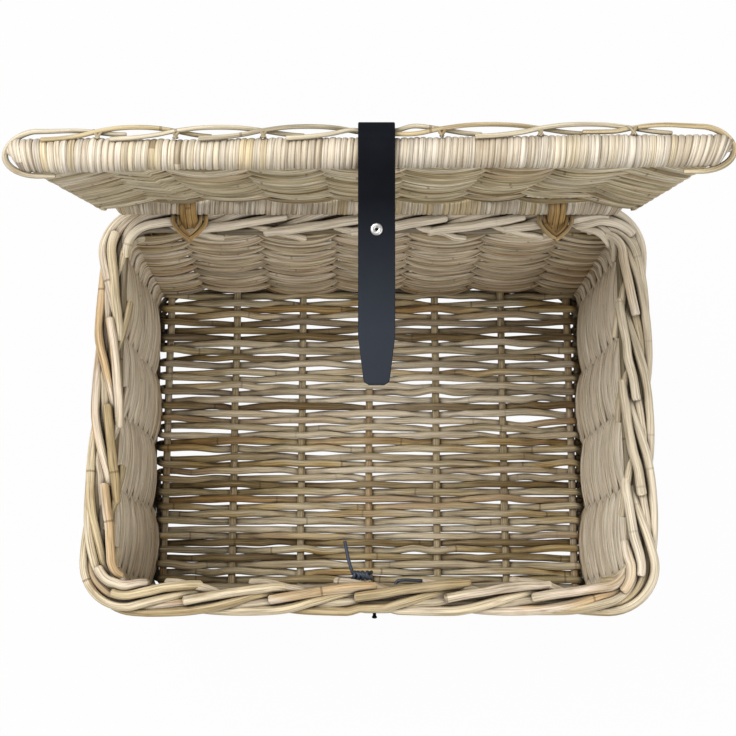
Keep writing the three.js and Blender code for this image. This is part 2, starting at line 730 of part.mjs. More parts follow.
// The strap goes round the front bar, over the edging rod, and both layers meet below the bar,
// where a rivet joins them. Its shank ends in the outer layer, which covers it.
function addStrapLoop() {
  const reach = FRONT_BAR_RADIUS + CLEARANCE + STRAP_THICKNESS / 2;
  const innerLayer = STRAP_FORWARD - STRAP_THICKNESS - CLEARANCE;
  const end = STRAP_TOP - STRAP_FIXED;
  const path = [[innerLayer, end], [innerLayer, -reach - STRAP_THICKNESS]];
  for (const turn of LOOP_TURNS_BELOW) {
    const angle = THREE.MathUtils.degToRad(turn);
    const radius = turn === LOOP_TURNS_BELOW[0] ? reach + CLEARANCE : reach / Math.cos(Math.PI / 12);
    path.push([LID_LENGTH + radius * Math.cos(angle), radius * Math.sin(angle)]);
  }
  const topReach = STRAP_TOP - STRAP_THICKNESS / 2;
  for (const turn of LOOP_TURNS_ABOVE) {
    const angle = THREE.MathUtils.degToRad(turn);
    const forwardReach = turn > 90 ? topReach : reach / Math.cos(Math.PI / 10);
    const upReach = topReach / Math.cos(Math.PI / 15);
    path.push([LID_LENGTH + forwardReach * Math.cos(angle), upReach * Math.sin(angle)]);
  }
  path.push([STRAP_FORWARD, 0], [STRAP_FORWARD, end]);
  const across = new THREE.Vector3(1, 0, 0);
  const rings = path.map(([forward, up], i) => {
    const before = path[Math.max(i - 1, 0)];
    const after = path[Math.min(i + 1, path.length - 1)];
    const thick = lidPoint(0, after[1] - before[1], before[0] - after[0]).normalize();
    return flatSection(lidPoint(STRAP_X, forward, up), across, STRAP_WIDTH / 2, thick, STRAP_THICKNESS / 2);
  });
  const forwardAxis = new THREE.Vector3(0, -1, 0);
  const rivetEnd = STRAP_THICKNESS / 2 - RIVET_COVER;
  const drill = turned(
    [
      [0, -4 * STRAP_THICKNESS],
      [RIVET_RADIUS + CLEARANCE, -4 * STRAP_THICKNESS],
      [RIVET_RADIUS + CLEARANCE, rivetEnd + CLEARANCE],
      [0, rivetEnd + CLEARANCE],
    ],
    lidPoint(STRAP_X, STRAP_FORWARD, RIVET_UP),
    forwardAxis,
  );
  const loop = solid(skin(rings, false)).subtract(solid(drill));
  add(lid, "strap_loop", geometryOf(loop), LEATHER, 0.55);
  const innerFace = -STRAP_THICKNESS * 1.5 - 2 * CLEARANCE;
  const rivet = turned(
    [
      [0, innerFace - RIVET_HEAD],
      [RIVET_HEAD_RADIUS - RIVET_HEAD, innerFace - RIVET_HEAD],
      [RIVET_HEAD_RADIUS, innerFace],
      [RIVET_RADIUS, innerFace],
      [RIVET_RADIUS, rivetEnd],
      [0, rivetEnd],
    ],
    lidPoint(STRAP_X, STRAP_FORWARD, RIVET_UP),
    forwardAxis,
  );
  add(lid, "strap_rivet", rivet, NICKEL, 0.35, 0.9);
}

// The free end of the strap, from the place where the leather bends to its tapered tip.
function addStrapTail() {
  const half = STRAP_WIDTH / 2;
  const tipHalf = STRAP_TIP_WIDTH / 2;
  const outline = new THREE.Shape();
  outline.moveTo(-half, STRAP_JOINT_UP);
  outline.lineTo(-half, STRAP_TIP_UP + STRAP_TAPER);
  outline.lineTo(-tipHalf, STRAP_TIP_UP + STRAP_TIP_RADIUS);
  outline.quadraticCurveTo(-tipHalf, STRAP_TIP_UP, -tipHalf + STRAP_TIP_RADIUS, STRAP_TIP_UP);
  outline.lineTo(tipHalf - STRAP_TIP_RADIUS, STRAP_TIP_UP);
  outline.quadraticCurveTo(tipHalf, STRAP_TIP_UP, tipHalf, STRAP_TIP_UP + STRAP_TIP_RADIUS);
  outline.lineTo(half, STRAP_TIP_UP + STRAP_TAPER);
  outline.lineTo(half, STRAP_JOINT_UP);
  const hole = new THREE.Path();
  hole.absarc(0, SNAP_UP, SNAP_POST_RADIUS + CLEARANCE, 0, 2 * Math.PI, true);
  outline.holes.push(hole);
  const leather = new THREE.ExtrudeGeometry(outline, {
    depth: STRAP_THICKNESS,
    curveSegments: 6,
    bevelEnabled: false,
  });
  leather.translate(0, 0, -STRAP_THICKNESS / 2);
  leather.rotateX(Math.PI / 2);
  leather.translate(STRAP_X, -STRAP_FORWARD, 0);
  const bend = new THREE.CylinderGeometry(STRAP_THICKNESS / 2, STRAP_THICKNESS / 2, STRAP_WIDTH, 12);
  bend.rotateZ(Math.PI / 2);
  const bendCentre = lidPoint(STRAP_X, STRAP_FORWARD, STRAP_JOINT_UP);
  bend.translate(bendCentre.x, bendCentre.y, bendCentre.z);
  add(lid, "strap_tail", geometryOf(solid(leather).add(solid(bend))), LEATHER, 0.55);
}

// A press stud through the strap: a ringed cap outside and a hollow socket inside.
function addSnap() {
  const outside = STRAP_THICKNESS / 2 + CLEARANCE;
  const inside = -outside;
  const mouth = inside - SNAP_SOCKET_HEIGHT;
  const rim = outside + SNAP_CAP_RIM;
  const top = outside + SNAP_CAP_HEIGHT;
  const profile = [
    [0, mouth + SNAP_SOCKET_DEPTH],
    [SNAP_SOCKET_BORE, mouth + SNAP_SOCKET_DEPTH],
    [SNAP_SOCKET_BORE, mouth],
    [SNAP_SOCKET_RADIUS - SNAP_EDGE, mouth],
    [SNAP_SOCKET_RADIUS, mouth + SNAP_EDGE],
    [SNAP_SOCKET_RADIUS, inside],
    [SNAP_POST_RADIUS, inside],
    [SNAP_POST_RADIUS, outside],
    [SNAP_CAP_RADIUS, outside],
    [SNAP_CAP_RADIUS, rim],
    [SNAP_CAP_RADIUS - SNAP_EDGE, top],
    [SNAP_POST_RADIUS + SNAP_EDGE, top],
    [SNAP_POST_RADIUS, rim],
    [0, rim],
  ];
  const place = lidPoint(STRAP_X, STRAP_FORWARD, SNAP_UP);
  add(lid, "strap_snap", turned(profile, place, new THREE.Vector3(0, -1, 0)), NICKEL, 0.35, 0.9);
}

const TAB_TOP = WALL_TOP + TAB_RISE;
const TAB_FACE = WALL_Y + WALL_OUTSIDE + 2 * CLEARANCE + STUD_FLANGE + TAB_THICKNESS;
const STUD_HEIGHT = CLOSED_BAR + SNAP_UP;

// A leather tab with a stud for the strap, outside the front wall.
function addCatch() {
  const half = TAB_WIDTH / 2;
  const round = half / 2;
  const outline = new THREE.Shape();
  outline.moveTo(-half, TAB_TOP);
  outline.lineTo(-half, TAB_TOP - TAB_HEIGHT + round);
  outline.quadraticCurveTo(-half, TAB_TOP - TAB_HEIGHT, -half + round, TAB_TOP - TAB_HEIGHT);
  outline.lineTo(half - round, TAB_TOP - TAB_HEIGHT);
  outline.quadraticCurveTo(half, TAB_TOP - TAB_HEIGHT, half, TAB_TOP - TAB_HEIGHT + round);
  outline.lineTo(half, TAB_TOP);
  const hole = new THREE.Path();
  hole.absarc(0, STUD_HEIGHT, STUD_POST_RADIUS + CLEARANCE, 0, 2 * Math.PI, true);
  outline.holes.push(hole);
  const tab = new THREE.ExtrudeGeometry(outline, {
    depth: TAB_THICKNESS,
    curveSegments: 6,
    bevelEnabled: false,
  });
  tab.rotateX(Math.PI / 2);
  tab.translate(STRAP_X, -TAB_FACE + TAB_THICKNESS, 0);
  add(body, "catch_tab", tab, LEATHER, 0.55);
  const back = -TAB_THICKNESS - CLEARANCE / 2;
  const neck = CLEARANCE / 2;
  const top = neck + STUD_REACH;
  const stud = turned(
    [
      [0, back - STUD_FLANGE],
      [STUD_FLANGE_RADIUS, back - STUD_FLANGE],
      [STUD_FLANGE_RADIUS, back],
      [STUD_POST_RADIUS, back],
      [STUD_POST_RADIUS, neck + STUD_REACH / 2],
      [STUD_RADIUS, neck + STUD_REACH / 2 + STUD_EDGE],
      [STUD_RADIUS, top - STUD_EDGE],
      [STUD_POST_RADIUS, top],
      [0, top],
    ],
    new THREE.Vector3(STRAP_X, -TAB_FACE, STUD_HEIGHT),
    new THREE.Vector3(0, -1, 0),
  );
  add(body, "catch_stud", stud, LEATHER, 0.4, 0.6);
}

// The wire that holds the tab: through the slot under the border, across the tab, back through
// the slot, along the inside of the rim to its twisted end, whose tail stands into the basket.
function addCatchTie() {
  const slot = (WALL_TOP + BORDER_UNDERSIDE) / 2;
  const inside = -(WALL_Y - WALL_OUTSIDE + 2 * TIE_RADIUS);
  const acrossTab = -(TAB_FACE + CLEARANCE + TIE_RADIUS);
  const tabLine = TAB_TOP - 2 * TIE_RADIUS;
  const left = STRAP_X - TAB_WIDTH / 2 - TIE_LEFT_MARGIN;
  const right = STRAP_X + TAB_WIDTH / 2 + TIE_RIGHT_MARGIN;
  const wallFace = -(WALL_Y + WALL_OUTSIDE - TIE_BEND);
  const tail = [1, 0.75, 0.5, 0.25].map((t) => [
    left - TIE_TAIL_SWAY * Math.sqrt(t),
    inside + TIE_TAIL * t,
    slot - TIE_TAIL_SAG * Math.sqrt(t),
  ]);
  const points = [
    ...tail,
    [left, inside, slot],
    [left, -WALL_Y, slot],
    [left, wallFace, slot],
    [left + TIE_BEND / 3, acrossTab + TIE_BEND / 2, tabLine],
    [left + TIE_BEND, acrossTab, tabLine],
    [right - TIE_BEND, acrossTab, tabLine],
    [right - TIE_BEND / 3, acrossTab + TIE_BEND / 2, tabLine],
    [right, wallFace, slot],
    [right, -WALL_Y, slot],
    [right + TIE_BEND / 3, inside, slot],
    [right + TIE_TAG / 2, inside + TIE_BEND / 2, slot],
    [right + TIE_TAG, inside + TIE_BEND / 2, slot],
  ].map(([x, y, z]) => new THREE.Vector3(x, y, z));
  add(body, "catch_tie", rod(points, TIE_RADIUS, 6), LEATHER, 0.5);
}

addRibs();
addSideStakes();
addFootHoop();
addFloor();
addWalls();
addBorder();
addLashings();
addLidBars();
addLidPanel();
addEdging();
addStrapLoop();
addStrapTail();
addSnap();
addCatch();
addCatchTie();

// The origin is the middle of the space that the basket takes, on the ground.
basket.updateMatrixWorld(true);
const space = new THREE.Box3().setFromObject(basket);
const middle = space.getCenter(new THREE.Vector3());
basket.position.set(-middle.x, -middle.y, -space.min.z);

export default basket;
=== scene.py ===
"""The looks of a woven rattan bicycle basket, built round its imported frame."""

import json
import math

import bpy
import numpy as np
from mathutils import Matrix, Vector


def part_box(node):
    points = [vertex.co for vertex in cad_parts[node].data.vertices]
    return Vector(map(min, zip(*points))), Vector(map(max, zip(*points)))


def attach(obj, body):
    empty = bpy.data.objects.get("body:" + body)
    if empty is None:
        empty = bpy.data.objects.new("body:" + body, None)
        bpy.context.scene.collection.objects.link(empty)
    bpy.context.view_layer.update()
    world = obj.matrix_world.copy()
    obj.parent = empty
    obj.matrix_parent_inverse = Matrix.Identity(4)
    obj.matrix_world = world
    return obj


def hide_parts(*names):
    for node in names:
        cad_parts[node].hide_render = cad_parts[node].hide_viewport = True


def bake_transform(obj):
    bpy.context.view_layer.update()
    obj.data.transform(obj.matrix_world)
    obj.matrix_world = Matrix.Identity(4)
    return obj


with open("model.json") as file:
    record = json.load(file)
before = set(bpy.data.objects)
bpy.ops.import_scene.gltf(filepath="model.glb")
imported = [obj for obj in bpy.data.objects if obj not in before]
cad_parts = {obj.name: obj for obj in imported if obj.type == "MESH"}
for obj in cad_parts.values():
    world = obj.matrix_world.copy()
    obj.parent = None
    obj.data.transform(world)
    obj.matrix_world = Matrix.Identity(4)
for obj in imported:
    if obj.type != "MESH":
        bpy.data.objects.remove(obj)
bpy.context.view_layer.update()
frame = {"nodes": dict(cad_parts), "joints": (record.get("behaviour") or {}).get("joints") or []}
MM = 0.001
ACROSS = np.array([1.0, 0.0, 0.0])
UP = (0, 0, 1)
rng = np.random.default_rng(7)


def mm_box(*nodes):
    """Lowest and highest corner of some CAD nodes together, in millimetres."""
    boxes = np.array([[list(corner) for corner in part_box(n)] for n in nodes]) / MM
    return boxes[:, 0].min(0), boxes[:, 1].max(0)


def mm_middle(node):
    low, high = mm_box(node)
    return (low + high) / 2


def nodes_named(start):
    return sorted(n for n in frame["nodes"] if n.startswith(start))


JOINT_PLACES = {j["name"]: np.array(j["pos_m"]) / MM for j in frame["joints"]}
HINGE, STRAP_HINGE = JOINT_PLACES["lid_hinge"], JOINT_PLACES["strap_hinge"]
# The photographed strap hangs a little left of its joint's middle
STRAP_X = STRAP_HINGE[0] - 1.6
BORDER_NODES = nodes_named("border_strand_")
RIB_NODES = nodes_named("frame_rib_")
LID_STAKE_NODES = nodes_named("lid_stake_")

# The rim and the middle line of the walls, in millimetres
BORDER_LOW, BORDER_HIGH = mm_box(*BORDER_NODES)
BORDER_HALF_WIDTH = 14.0
CENTRE_Y = (BORDER_LOW[1] + BORDER_HIGH[1]) / 2
WALL_X = round(BORDER_HIGH[0]) - BORDER_HALF_WIDTH
WALL_Y = round((BORDER_HIGH[1] - BORDER_LOW[1]) / 2) - BORDER_HALF_WIDTH

# Uprights
RIB_X = [float(mm_middle(n)[0]) for n in RIB_NODES]
RIB_RADIUS = 3.75
RIB_BEND = 4.5
FLOOR_Z = float(mm_box(RIB_NODES[0])[0][2]) + RIB_RADIUS
STAKE_TOP = float(mm_box(RIB_NODES[0])[1][2])


def srgb(*values):
    """Display values from 0 to 255 as a linear colour."""
    shares = (v / 255 for v in values)
    return (*(v / 12.92 if v <= 0.04045 else ((v + 0.055) / 1.055) ** 2.4 for v in shares), 1.0)


def ease(t):
    """From 0 to 1, level at both ends."""
    return t * t * (3 - 2 * t)


def smooth_noise(count, scale, knots, ring=False):
    """A smooth random run of numbers round zero. A ring closes on itself."""
    values = rng.normal(0, 1, knots if ring else knots + 3)
    place = np.arange(count) * knots / count if ring else np.linspace(0, knots, count)
    i = place.astype(int)
    t = ease(place - i)
    return scale * (values[i] * (1 - t) + values[(i + 1) % len(values)] * t)


def unit(v):
    return v / np.linalg.norm(v, axis=-1, keepdims=True)


def lengths_along(path):
    return np.concatenate([[0], np.cumsum(np.linalg.norm(np.diff(path, axis=0), axis=1))])


def spline(knots, count):
    """A smooth run through rows of numbers."""
    knots = np.asarray(knots, float)
    padded = np.vstack([2 * knots[0] - knots[1], knots, 2 * knots[-1] - knots[-2]])
    place = np.linspace(0, len(knots) - 1 - 1e-9, count)
    i = place.astype(int)
    t = (place - i)[:, None]
    p0, p1, p2, p3 = (padded[i + k] for k in range(4))
    square, cube = 2 * p0 - 5 * p1 + 4 * p2 - p3, 3 * p1 - p0 - 3 * p2 + p3
    return 0.5 * (2 * p1 + (p2 - p0) * t + square * t**2 + cube * t**3)


def tube_quads(rings, sides, first=0, closed=False):
    """Faces between rings of points that follow one another."""
    i = np.arange(rings if closed else rings - 1)[:, None]
    j = np.arange(sides)[None]
    k = (j + 1) % sides
    here, there = first + i * sides, first + (i + 1) % rings * sides
    return np.stack([here + j, there + j, there + k, here + k], -1).reshape(-1, 4)


def mesh_object(name, points, quads, triangles=()):
    """A smooth mesh from points in millimetres."""
    mesh = bpy.data.meshes.new(name)
    points = points.reshape(-1, 3) * MM
    mesh.vertices.add(len(points))
    mesh.vertices.foreach_set("co", points.astype(np.float32).ravel())
    corners = np.concatenate([np.asarray(faces, np.int32).ravel() for faces in (quads, triangles)])
    sizes = np.concatenate([np.full(len(quads), 4), np.full(len(triangles), 3)])
    mesh.loops.add(len(corners))
    mesh.loops.foreach_set("vertex_index", corners)
    mesh.polygons.add(len(sizes))
    mesh.polygons.foreach_set("loop_start", (np.cumsum(sizes) - sizes).astype(np.int32))
    mesh.polygons.foreach_set("use_smooth", np.ones(len(sizes), bool))
    mesh.update(calc_edges=True)
    obj = bpy.data.objects.new(name, mesh)
    bpy.context.scene.collection.objects.link(obj)
    return obj


def add_attribute(obj, name, values):
    """A value or a vector at each point, for the materials."""
    kind, field = ("FLOAT", "value") if values.ndim == 1 else ("FLOAT_VECTOR", "vector")
    attribute = obj.data.attributes.new(name, kind, "POINT")
    attribute.data.foreach_set(field, values.astype(np.float32).ravel())


def finish_piece(obj, material, body, replaces):
    obj.data.materials.append(material)
    if body:
        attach(obj, body)
    if replaces:
        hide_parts(*replaces)
    return obj


class Strands:
    """Collects rods and bands of cane, and makes one mesh of them."""

    CAP_REACH, CAP_SHARE = 0.35, 0.72

    def __init__(self):
        self.rows, self.quads, self.triangles = [], [], []
        self.count = 0

    def add(self, path, up, half_wide, half_thick, tone, sides=8, closed=False, soil=0.0):
        """A strand along a path in millimetres. Its section is half_thick high along up."""
        n = len(path)
        ahead = np.roll(path, -1, 0) - np.roll(path, 1, 0) if closed else np.gradient(path, axis=0)
        tangent = unit(ahead)
        side = unit(np.cross(tangent, np.broadcast_to(np.asarray(up, float), (n, 3))))
        rise = np.cross(side, tangent)
        along = lengths_along(path)
        values = (half_wide, half_thick, tone, soil)
        wide, thick, tone, soil = (np.broadcast_to(np.asarray(v, float), (n,)) for v in values)
        if not closed:
            cap = self.CAP_REACH * float(min(wide[0], thick[0]))
            path = np.vstack([path[0] - tangent[0] * cap, path, path[-1] + tangent[-1] * cap])
            runs = (side, rise, along, tone, soil)
            side, rise, along, tone, soil = (np.concatenate([a[:1], a, a[-1:]]) for a in runs)
            ends = [(a, a[:1] * self.CAP_SHARE, a[-1:] * self.CAP_SHARE) for a in (wide, thick)]
            wide, thick = (np.concatenate([first, a, last]) for a, first, last in ends)
            n += 2
        angle = 2 * math.pi * np.arange(sides) / sides
        section = np.stack([wide[:, None] * np.cos(angle), thick[:, None] * np.sin(angle)], -1)
        ring = path[:, None] + side[:, None] * section[..., :1] + rise[:, None] * section[..., 1:]
        along = along + rng.uniform(0, 1500)
        grain = np.concatenate([np.broadcast_to(along[:, None, None], (n, sides, 1)), section], -1)
        first = self.count
        tones, painted_light_and_soils = np.repeat(tone, sides), np.repeat(soil, sides)
        self.rows.append((ring.reshape(-1, 3), grain.reshape(-1, 3), tones, painted_light_and_soils))
        self.quads.append(tube_quads(n, sides, first, closed))
        self.count += n * sides
        for row, order in () if closed else ((0, -1), (n - 1, 1)):
            # A hub closes each end
            hub = (path[row], np.array([along[row], 0, 0]), tone[row], soil[row])
            self.rows.append([value[None] for value in hub])
            edge = first + row * sides + np.arange(sides)
            pair = (edge, np.roll(edge, -1))[::order]
            self.triangles.append(np.stack([*pair, np.full(sides, self.count)], -1))
            self.count += 1
        return self

    def build(self, name, material, body, replaces, slot):
        points, grain, tone, soil = (np.concatenate(column) for column in zip(*self.rows))
        triangles = np.concatenate(self.triangles) if self.triangles else ()
        obj = mesh_object(name, points, np.concatenate(self.quads), triangles)
        for label, values in (("grain", grain * MM), ("tone", tone), ("soil", soil)):
            add_attribute(obj, label, values)
        return finish_piece(obj, material, body, replaces)


class Nodes:
    """Short calls for building a material's node tree."""

    SOCKETS = {"color": "Base Color", "roughness": "Roughness", "normal": "Normal", "metallic": "Metallic",
               "specular": "Specular IOR Level"}

    def __init__(self, name):
        self.material = bpy.data.materials.new(name)
        self.material.use_nodes = True
        self.tree = self.material.node_tree
        self.shader = self.tree.nodes["Principled BSDF"]

    def feed(self, socket, value):
        """Link an output to a socket, or set the socket's own value."""
        if hasattr(value, "is_linked"):
            self.tree.links.new(value, socket)
        else:
            socket.default_value = value

    def new(self, kind, inputs=None, **settings):
        node = self.tree.nodes.new(kind)
        for key, value in settings.items():
            setattr(node, key, value)
        for key, value in (inputs or {}).items():
            self.feed(node.inputs[key], value)
        return node

    def attribute(self, name, output="Fac"):
        return self.new("ShaderNodeAttribute", attribute_name=name).outputs[output]

    def math(self, operation, a, b=0.0):
        return self.new("ShaderNodeMath", {0: a, 1: b}, operation=operation).outputs[0]

    def scaled(self, vector, scale):
        return self.new("ShaderNodeVectorMath", {0: vector, 1: scale}, operation="MULTIPLY").outputs[0]

    def shifted(self, vector, amount):
        combine = self.new("ShaderNodeCombineXYZ", {0: amount, 1: amount, 2: amount}).outputs[0]
        return self.new("ShaderNodeVectorMath", {0: vector, 1: combine}, operation="ADD").outputs[0]

    def noise(self, vector, scale, detail=3.0, roughness=0.55):
        inputs = {"Vector": vector, "Scale": scale, "Detail": detail, "Roughness": roughness}
        return self.new("ShaderNodeTexNoise", inputs).outputs["Fac"]

    def ramp(self, factor, stops):
        node = self.new("ShaderNodeValToRGB", {"Fac": factor})
        elements = node.color_ramp.elements
        elements.remove(elements[-1])
        elements[0].position, elements[0].color = stops[0]
        for place, colour in stops[1:]:
            elements.new(place).color = colour
        return node.outputs["Color"]

    def mix(self, factor, a, b, blend="MIX"):
        inputs = {"Factor": factor, 6: a, 7: b}
        return self.new("ShaderNodeMix", inputs, data_type="RGBA", blend_type=blend).outputs[2]

    def remap(self, value, low, high, to_low=0.0, to_high=1.0):
        inputs = {"Value": value, "From Min": low, "From Max": high, "To Min": to_low, "To Max": to_high}
        return self.new("ShaderNodeMapRange", inputs).outputs[0]

    def bump(self, height, strength, distance):
        inputs = {"Height": height, "Strength": strength, "Distance": distance}
        return self.new("ShaderNodeBump", inputs).outputs[0]

    def set(self, **inputs):
        for key, value in inputs.items():
            self.feed(self.shader.inputs[self.SOCKETS[key]], value)
        return self.material


def cane_material(name, palette, streak=0.35, gap_shade=0.55, roughness=0.55, joint_gap=0.18, vary=0.18,
                  grey=0.40):
    """Rattan: a colour for each strand, streaks along its grain, darker rings at its joints and
    painted shade where strands meet. A value at each point darkens a strand, partly as soil and partly as
    painted shade, and paints light on it where it is below zero."""
    m = Nodes(name)
    grain, tone = m.attribute("grain", "Vector"), m.attribute("tone")
    own = m.shifted(grain, m.math("MULTIPLY", tone, 37.0))
    drift = m.noise(m.scaled(own, (9.0, 60.0, 60.0)), 1.0, 2.0)
    place = m.math("ADD", tone, m.remap(drift, 0.3, 0.7, -vary, vary))
    colour = m.ramp(place, [(at, srgb(*values)) for at, *values in palette])
    fibre = m.noise(m.scaled(own, (22.0, 900.0, 900.0)), 1.0, 4.0, 0.65)
    dark = (1 - streak, 1 - streak, 1 - streak * 1.05, 1)
    streaks = m.ramp(fibre, [(0.30, dark), (0.62, (1.08, 1.07, 1.05, 1))])
    colour = m.mix(1.0, colour, streaks, "MULTIPLY")
    stained = m.remap(m.noise(m.scaled(own, (45.0, 150.0, 150.0)), 1.0, 3.0), 0.60, 0.74)
    colour = m.mix(m.math("MULTIPLY", stained, 0.42), colour, srgb(148, 110, 66))
    faded = m.remap(m.noise(m.scaled(own, (14.0, 90.0, 90.0)), 1.0, 2.0), 0.50, 0.72)
    colour = m.mix(m.math("MULTIPLY", faded, grey), colour, srgb(168, 160, 148))
    along = m.new("ShaderNodeSeparateXYZ", {0: own}).outputs[0]
    cycle = m.math("FRACT", m.math("DIVIDE", along, joint_gap))
    joint = m.math("LESS_THAN", cycle, 0.010)
    colour = m.mix(m.math("MULTIPLY", joint, 0.55), colour, srgb(96, 70, 42))
    # Above zero this value darkens a strand, partly as soil and partly as painted shade; below zero it paints
    # light on it, towards pale cream
    soil = m.attribute("soil")
    colour = m.mix(m.math("MULTIPLY", soil, -1.0), colour, srgb(244, 234, 216))
    lines = m.ramp(fibre, [(0.36, (0.66, 0.62, 0.55, 1)), (0.56, (1.09, 1.08, 1.06, 1))])
    colour = m.mix(1.0, colour, lines, "MULTIPLY")
    # Painted shade: dark brown in the gaps where ambient occlusion finds strands close together
    shade = m.new("ShaderNodeAmbientOcclusion", {"Distance": 0.006}, samples=6).outputs["AO"]
    colour = m.mix(m.remap(shade, 0.25, 0.80, gap_shade, 0.0), colour, srgb(44, 30, 15))
    # The dark brown that the same value darkens towards: painted shade and soil
    colour = m.mix(m.math("MULTIPLY", soil, 0.85), colour, srgb(38, 30, 22))
    height = m.math("ADD", fibre, m.math("MULTIPLY", joint, -0.8))
    return m.set(
        color=colour,
        roughness=m.remap(fibre, 0.3, 0.7, roughness + 0.12, roughness - 0.08),
        normal=m.bump(height, 0.35, 0.0004),
        specular=0.35,
    )


def leather_material(name, colour, edge):
    """Pored leather, paler at its painted edges, and paler towards its free end as a painted sheen."""
    m = Nodes(name)
    position = m.new("ShaderNodeTexCoord").outputs["Object"]
    pores = m.new("ShaderNodeTexVoronoi", {"Vector": position, "Scale": 1500.0}, feature="DISTANCE_TO_EDGE")
    grain = m.noise(position, 420.0, 4.0)
    worn = m.remap(m.noise(position, 60.0, 3.0), 0.45, 0.75)
    # Painted sheen: paler towards the free end, as if it caught more light
    painted_sheen = m.remap(m.attribute("sheen_share"), 0.52, 0.86, 0.0, 0.95)
    base = m.mix(m.math("ADD", painted_sheen, m.math("MULTIPLY", worn, 0.05)), colour, edge)
    rim = m.remap(m.new("ShaderNodeNewGeometry").outputs["Pointiness"], 0.515, 0.56)
    base = m.mix(m.math("MULTIPLY", rim, 0.7), base, edge)
    height = m.math("ADD", m.remap(pores.outputs["Distance"], 0.0, 0.08), m.math("MULTIPLY", grain, 0.6))
    return m.set(
        color=base,
        roughness=m.remap(grain, 0.3, 0.7, 0.62, 0.78),
        normal=m.bump(height, 0.22, 0.00025),
        specular=0.012,
    )


def metal_material(name, colour, roughness):
    """Metal or lacquered metal with fine scratches."""
    m = Nodes(name)
    position = m.new("ShaderNodeTexCoord").outputs["Object"]
    scratch = m.noise(m.scaled(position, (400.0, 2600.0, 400.0)), 1.0, 3.0)
    tint = m.mix(m.remap(scratch, 0.35, 0.7), colour, tuple(c * 0.72 for c in colour[:3]) + (1.0,))
    return m.set(
        color=tint,
        roughness=m.remap(scratch, 0.3, 0.7, roughness, roughness + 0.18),
        metallic=1.0,
        normal=m.bump(scratch, 0.08, 0.0001),
    )


def coated_material(name, colour):
    """A satin plastic coat with a little grain."""
    m = Nodes(name)
    grain = m.noise(m.new("ShaderNodeTexCoord").outputs["Object"], 700.0, 3.0)
    tint = m.mix(m.remap(grain, 0.35, 0.7), colour, tuple(c * 1.6 for c in colour[:3]) + (1.0,))
    roughness = m.remap(grain, 0.3, 0.7, 0.35, 0.5)
    return m.set(color=tint, roughness=roughness, normal=m.bump(grain, 0.15, 0.0002))


# Cane palettes: place from 0 to 1, then the display colour there, and how dark the painted shade in the gaps
# between strands is
CANE = cane_material(
    "wall cane",
    ((0.0, 130, 108, 68), (0.2, 184, 162, 118), (0.45, 220, 202, 166), (0.7, 238, 224, 204),
     (0.88, 226, 206, 184), (1.0, 182, 142, 98)),
    streak=0.5, gap_shade=0.85, vary=0.34, grey=0.25,
)
FLOOR_CANE = cane_material(
    "floor cane",
    ((0.0, 132, 110, 72), (0.25, 176, 156, 112), (0.5, 202, 186, 146), (0.75, 222, 210, 182),
     (0.88, 212, 186, 128), (1.0, 180, 146, 94)),
    streak=0.42, gap_shade=0.85, vary=0.26, grey=0.3,
)
LID_CANE = cane_material(
    "lid cane",
    ((0.0, 140, 122, 84), (0.3, 190, 174, 136), (0.6, 216, 203, 170), (0.85, 234, 223, 200),
     (1.0, 184, 158, 118)),
    streak=0.46, gap_shade=0.75, vary=0.3, grey=0.25,
)
ROD_CANE = cane_material(
    "rod cane", ((0.0, 168, 150, 114), (0.4, 198, 182, 148), (0.75, 214, 200, 174), (1.0, 190, 160, 114)),
)
BORDER_CANE = cane_material(
    "border cane",
    ((0.0, 176, 156, 118), (0.3, 206, 189, 154), (0.6, 218, 204, 178), (0.85, 220, 204, 186),
     (1.0, 202, 174, 134)),
    streak=0.36, gap_shade=0.92, vary=0.3, grey=0.28,
)
WRAP_CANE = cane_material(
    "wrapping cane",
    ((0.0, 194, 180, 158), (0.3, 212, 200, 182), (0.6, 222, 213, 199), (0.85, 218, 205, 180),
     (1.0, 208, 190, 154)),
    streak=0.26, gap_shade=0.34, joint_gap=2.2, vary=0.2,
)
EDGING_CANE = cane_material(
    "edging cane", ((0.0, 168, 158, 136), (0.5, 206, 196, 172), (1.0, 190, 172, 134)), streak=0.25,
)
LASH_CANE = cane_material(
    "lashing cane", ((0.0, 158, 124, 72), (0.5, 202, 168, 112), (1.0, 220, 194, 146)),
    streak=0.3, gap_shade=0.9, roughness=0.42,
)
# The second colour serves as the edge paint and as the painted sheen towards the free end
LEATHER = leather_material("strap leather", srgb(3, 3, 5), srgb(50, 54, 61))
NICKEL = metal_material("nickel", srgb(205, 203, 198), 0.25)
BLACK_METAL = metal_material("black lacquer", srgb(30, 31, 35), 0.3)
COATED_WIRE = coated_material("coated wire", srgb(44, 52, 64))

# The photograph's width and the camera's focal length in pixels, its tilt off straight down, and
# its place in millimetres: across, back from the basket's middle, and up from the ground
IMAGE_PIXELS, FOCAL_PIXELS = 736, 1580
CAMERA_TILT = 10.4
CAMERA_X, CAMERA_Y, CAMERA_Z = -0.9, -205.5, 1530.5
# Name, place in metres, size and power of each lamp
LAMPS = (("key", (-0.9, 0.5, 2.2), 1.4, 40.0), ("fill", (1.2, -0.9, 1.9), 1.6, 13.0))


def add_camera():
    data = bpy.data.cameras.new("camera")
    data.sensor_width = 36.0
    data.lens = FOCAL_PIXELS / IMAGE_PIXELS * data.sensor_width
    data.clip_start, data.clip_end = 0.05, 20.0
    camera = bpy.data.objects.new("camera", data)
    bpy.context.scene.collection.objects.link(camera)
    camera.location = (CAMERA_X * MM, (CAMERA_Y + CENTRE_Y) * MM, CAMERA_Z * MM)
    camera.rotation_euler = (math.radians(CAMERA_TILT), 0.0, 0.0)
    bpy.context.scene.camera = camera


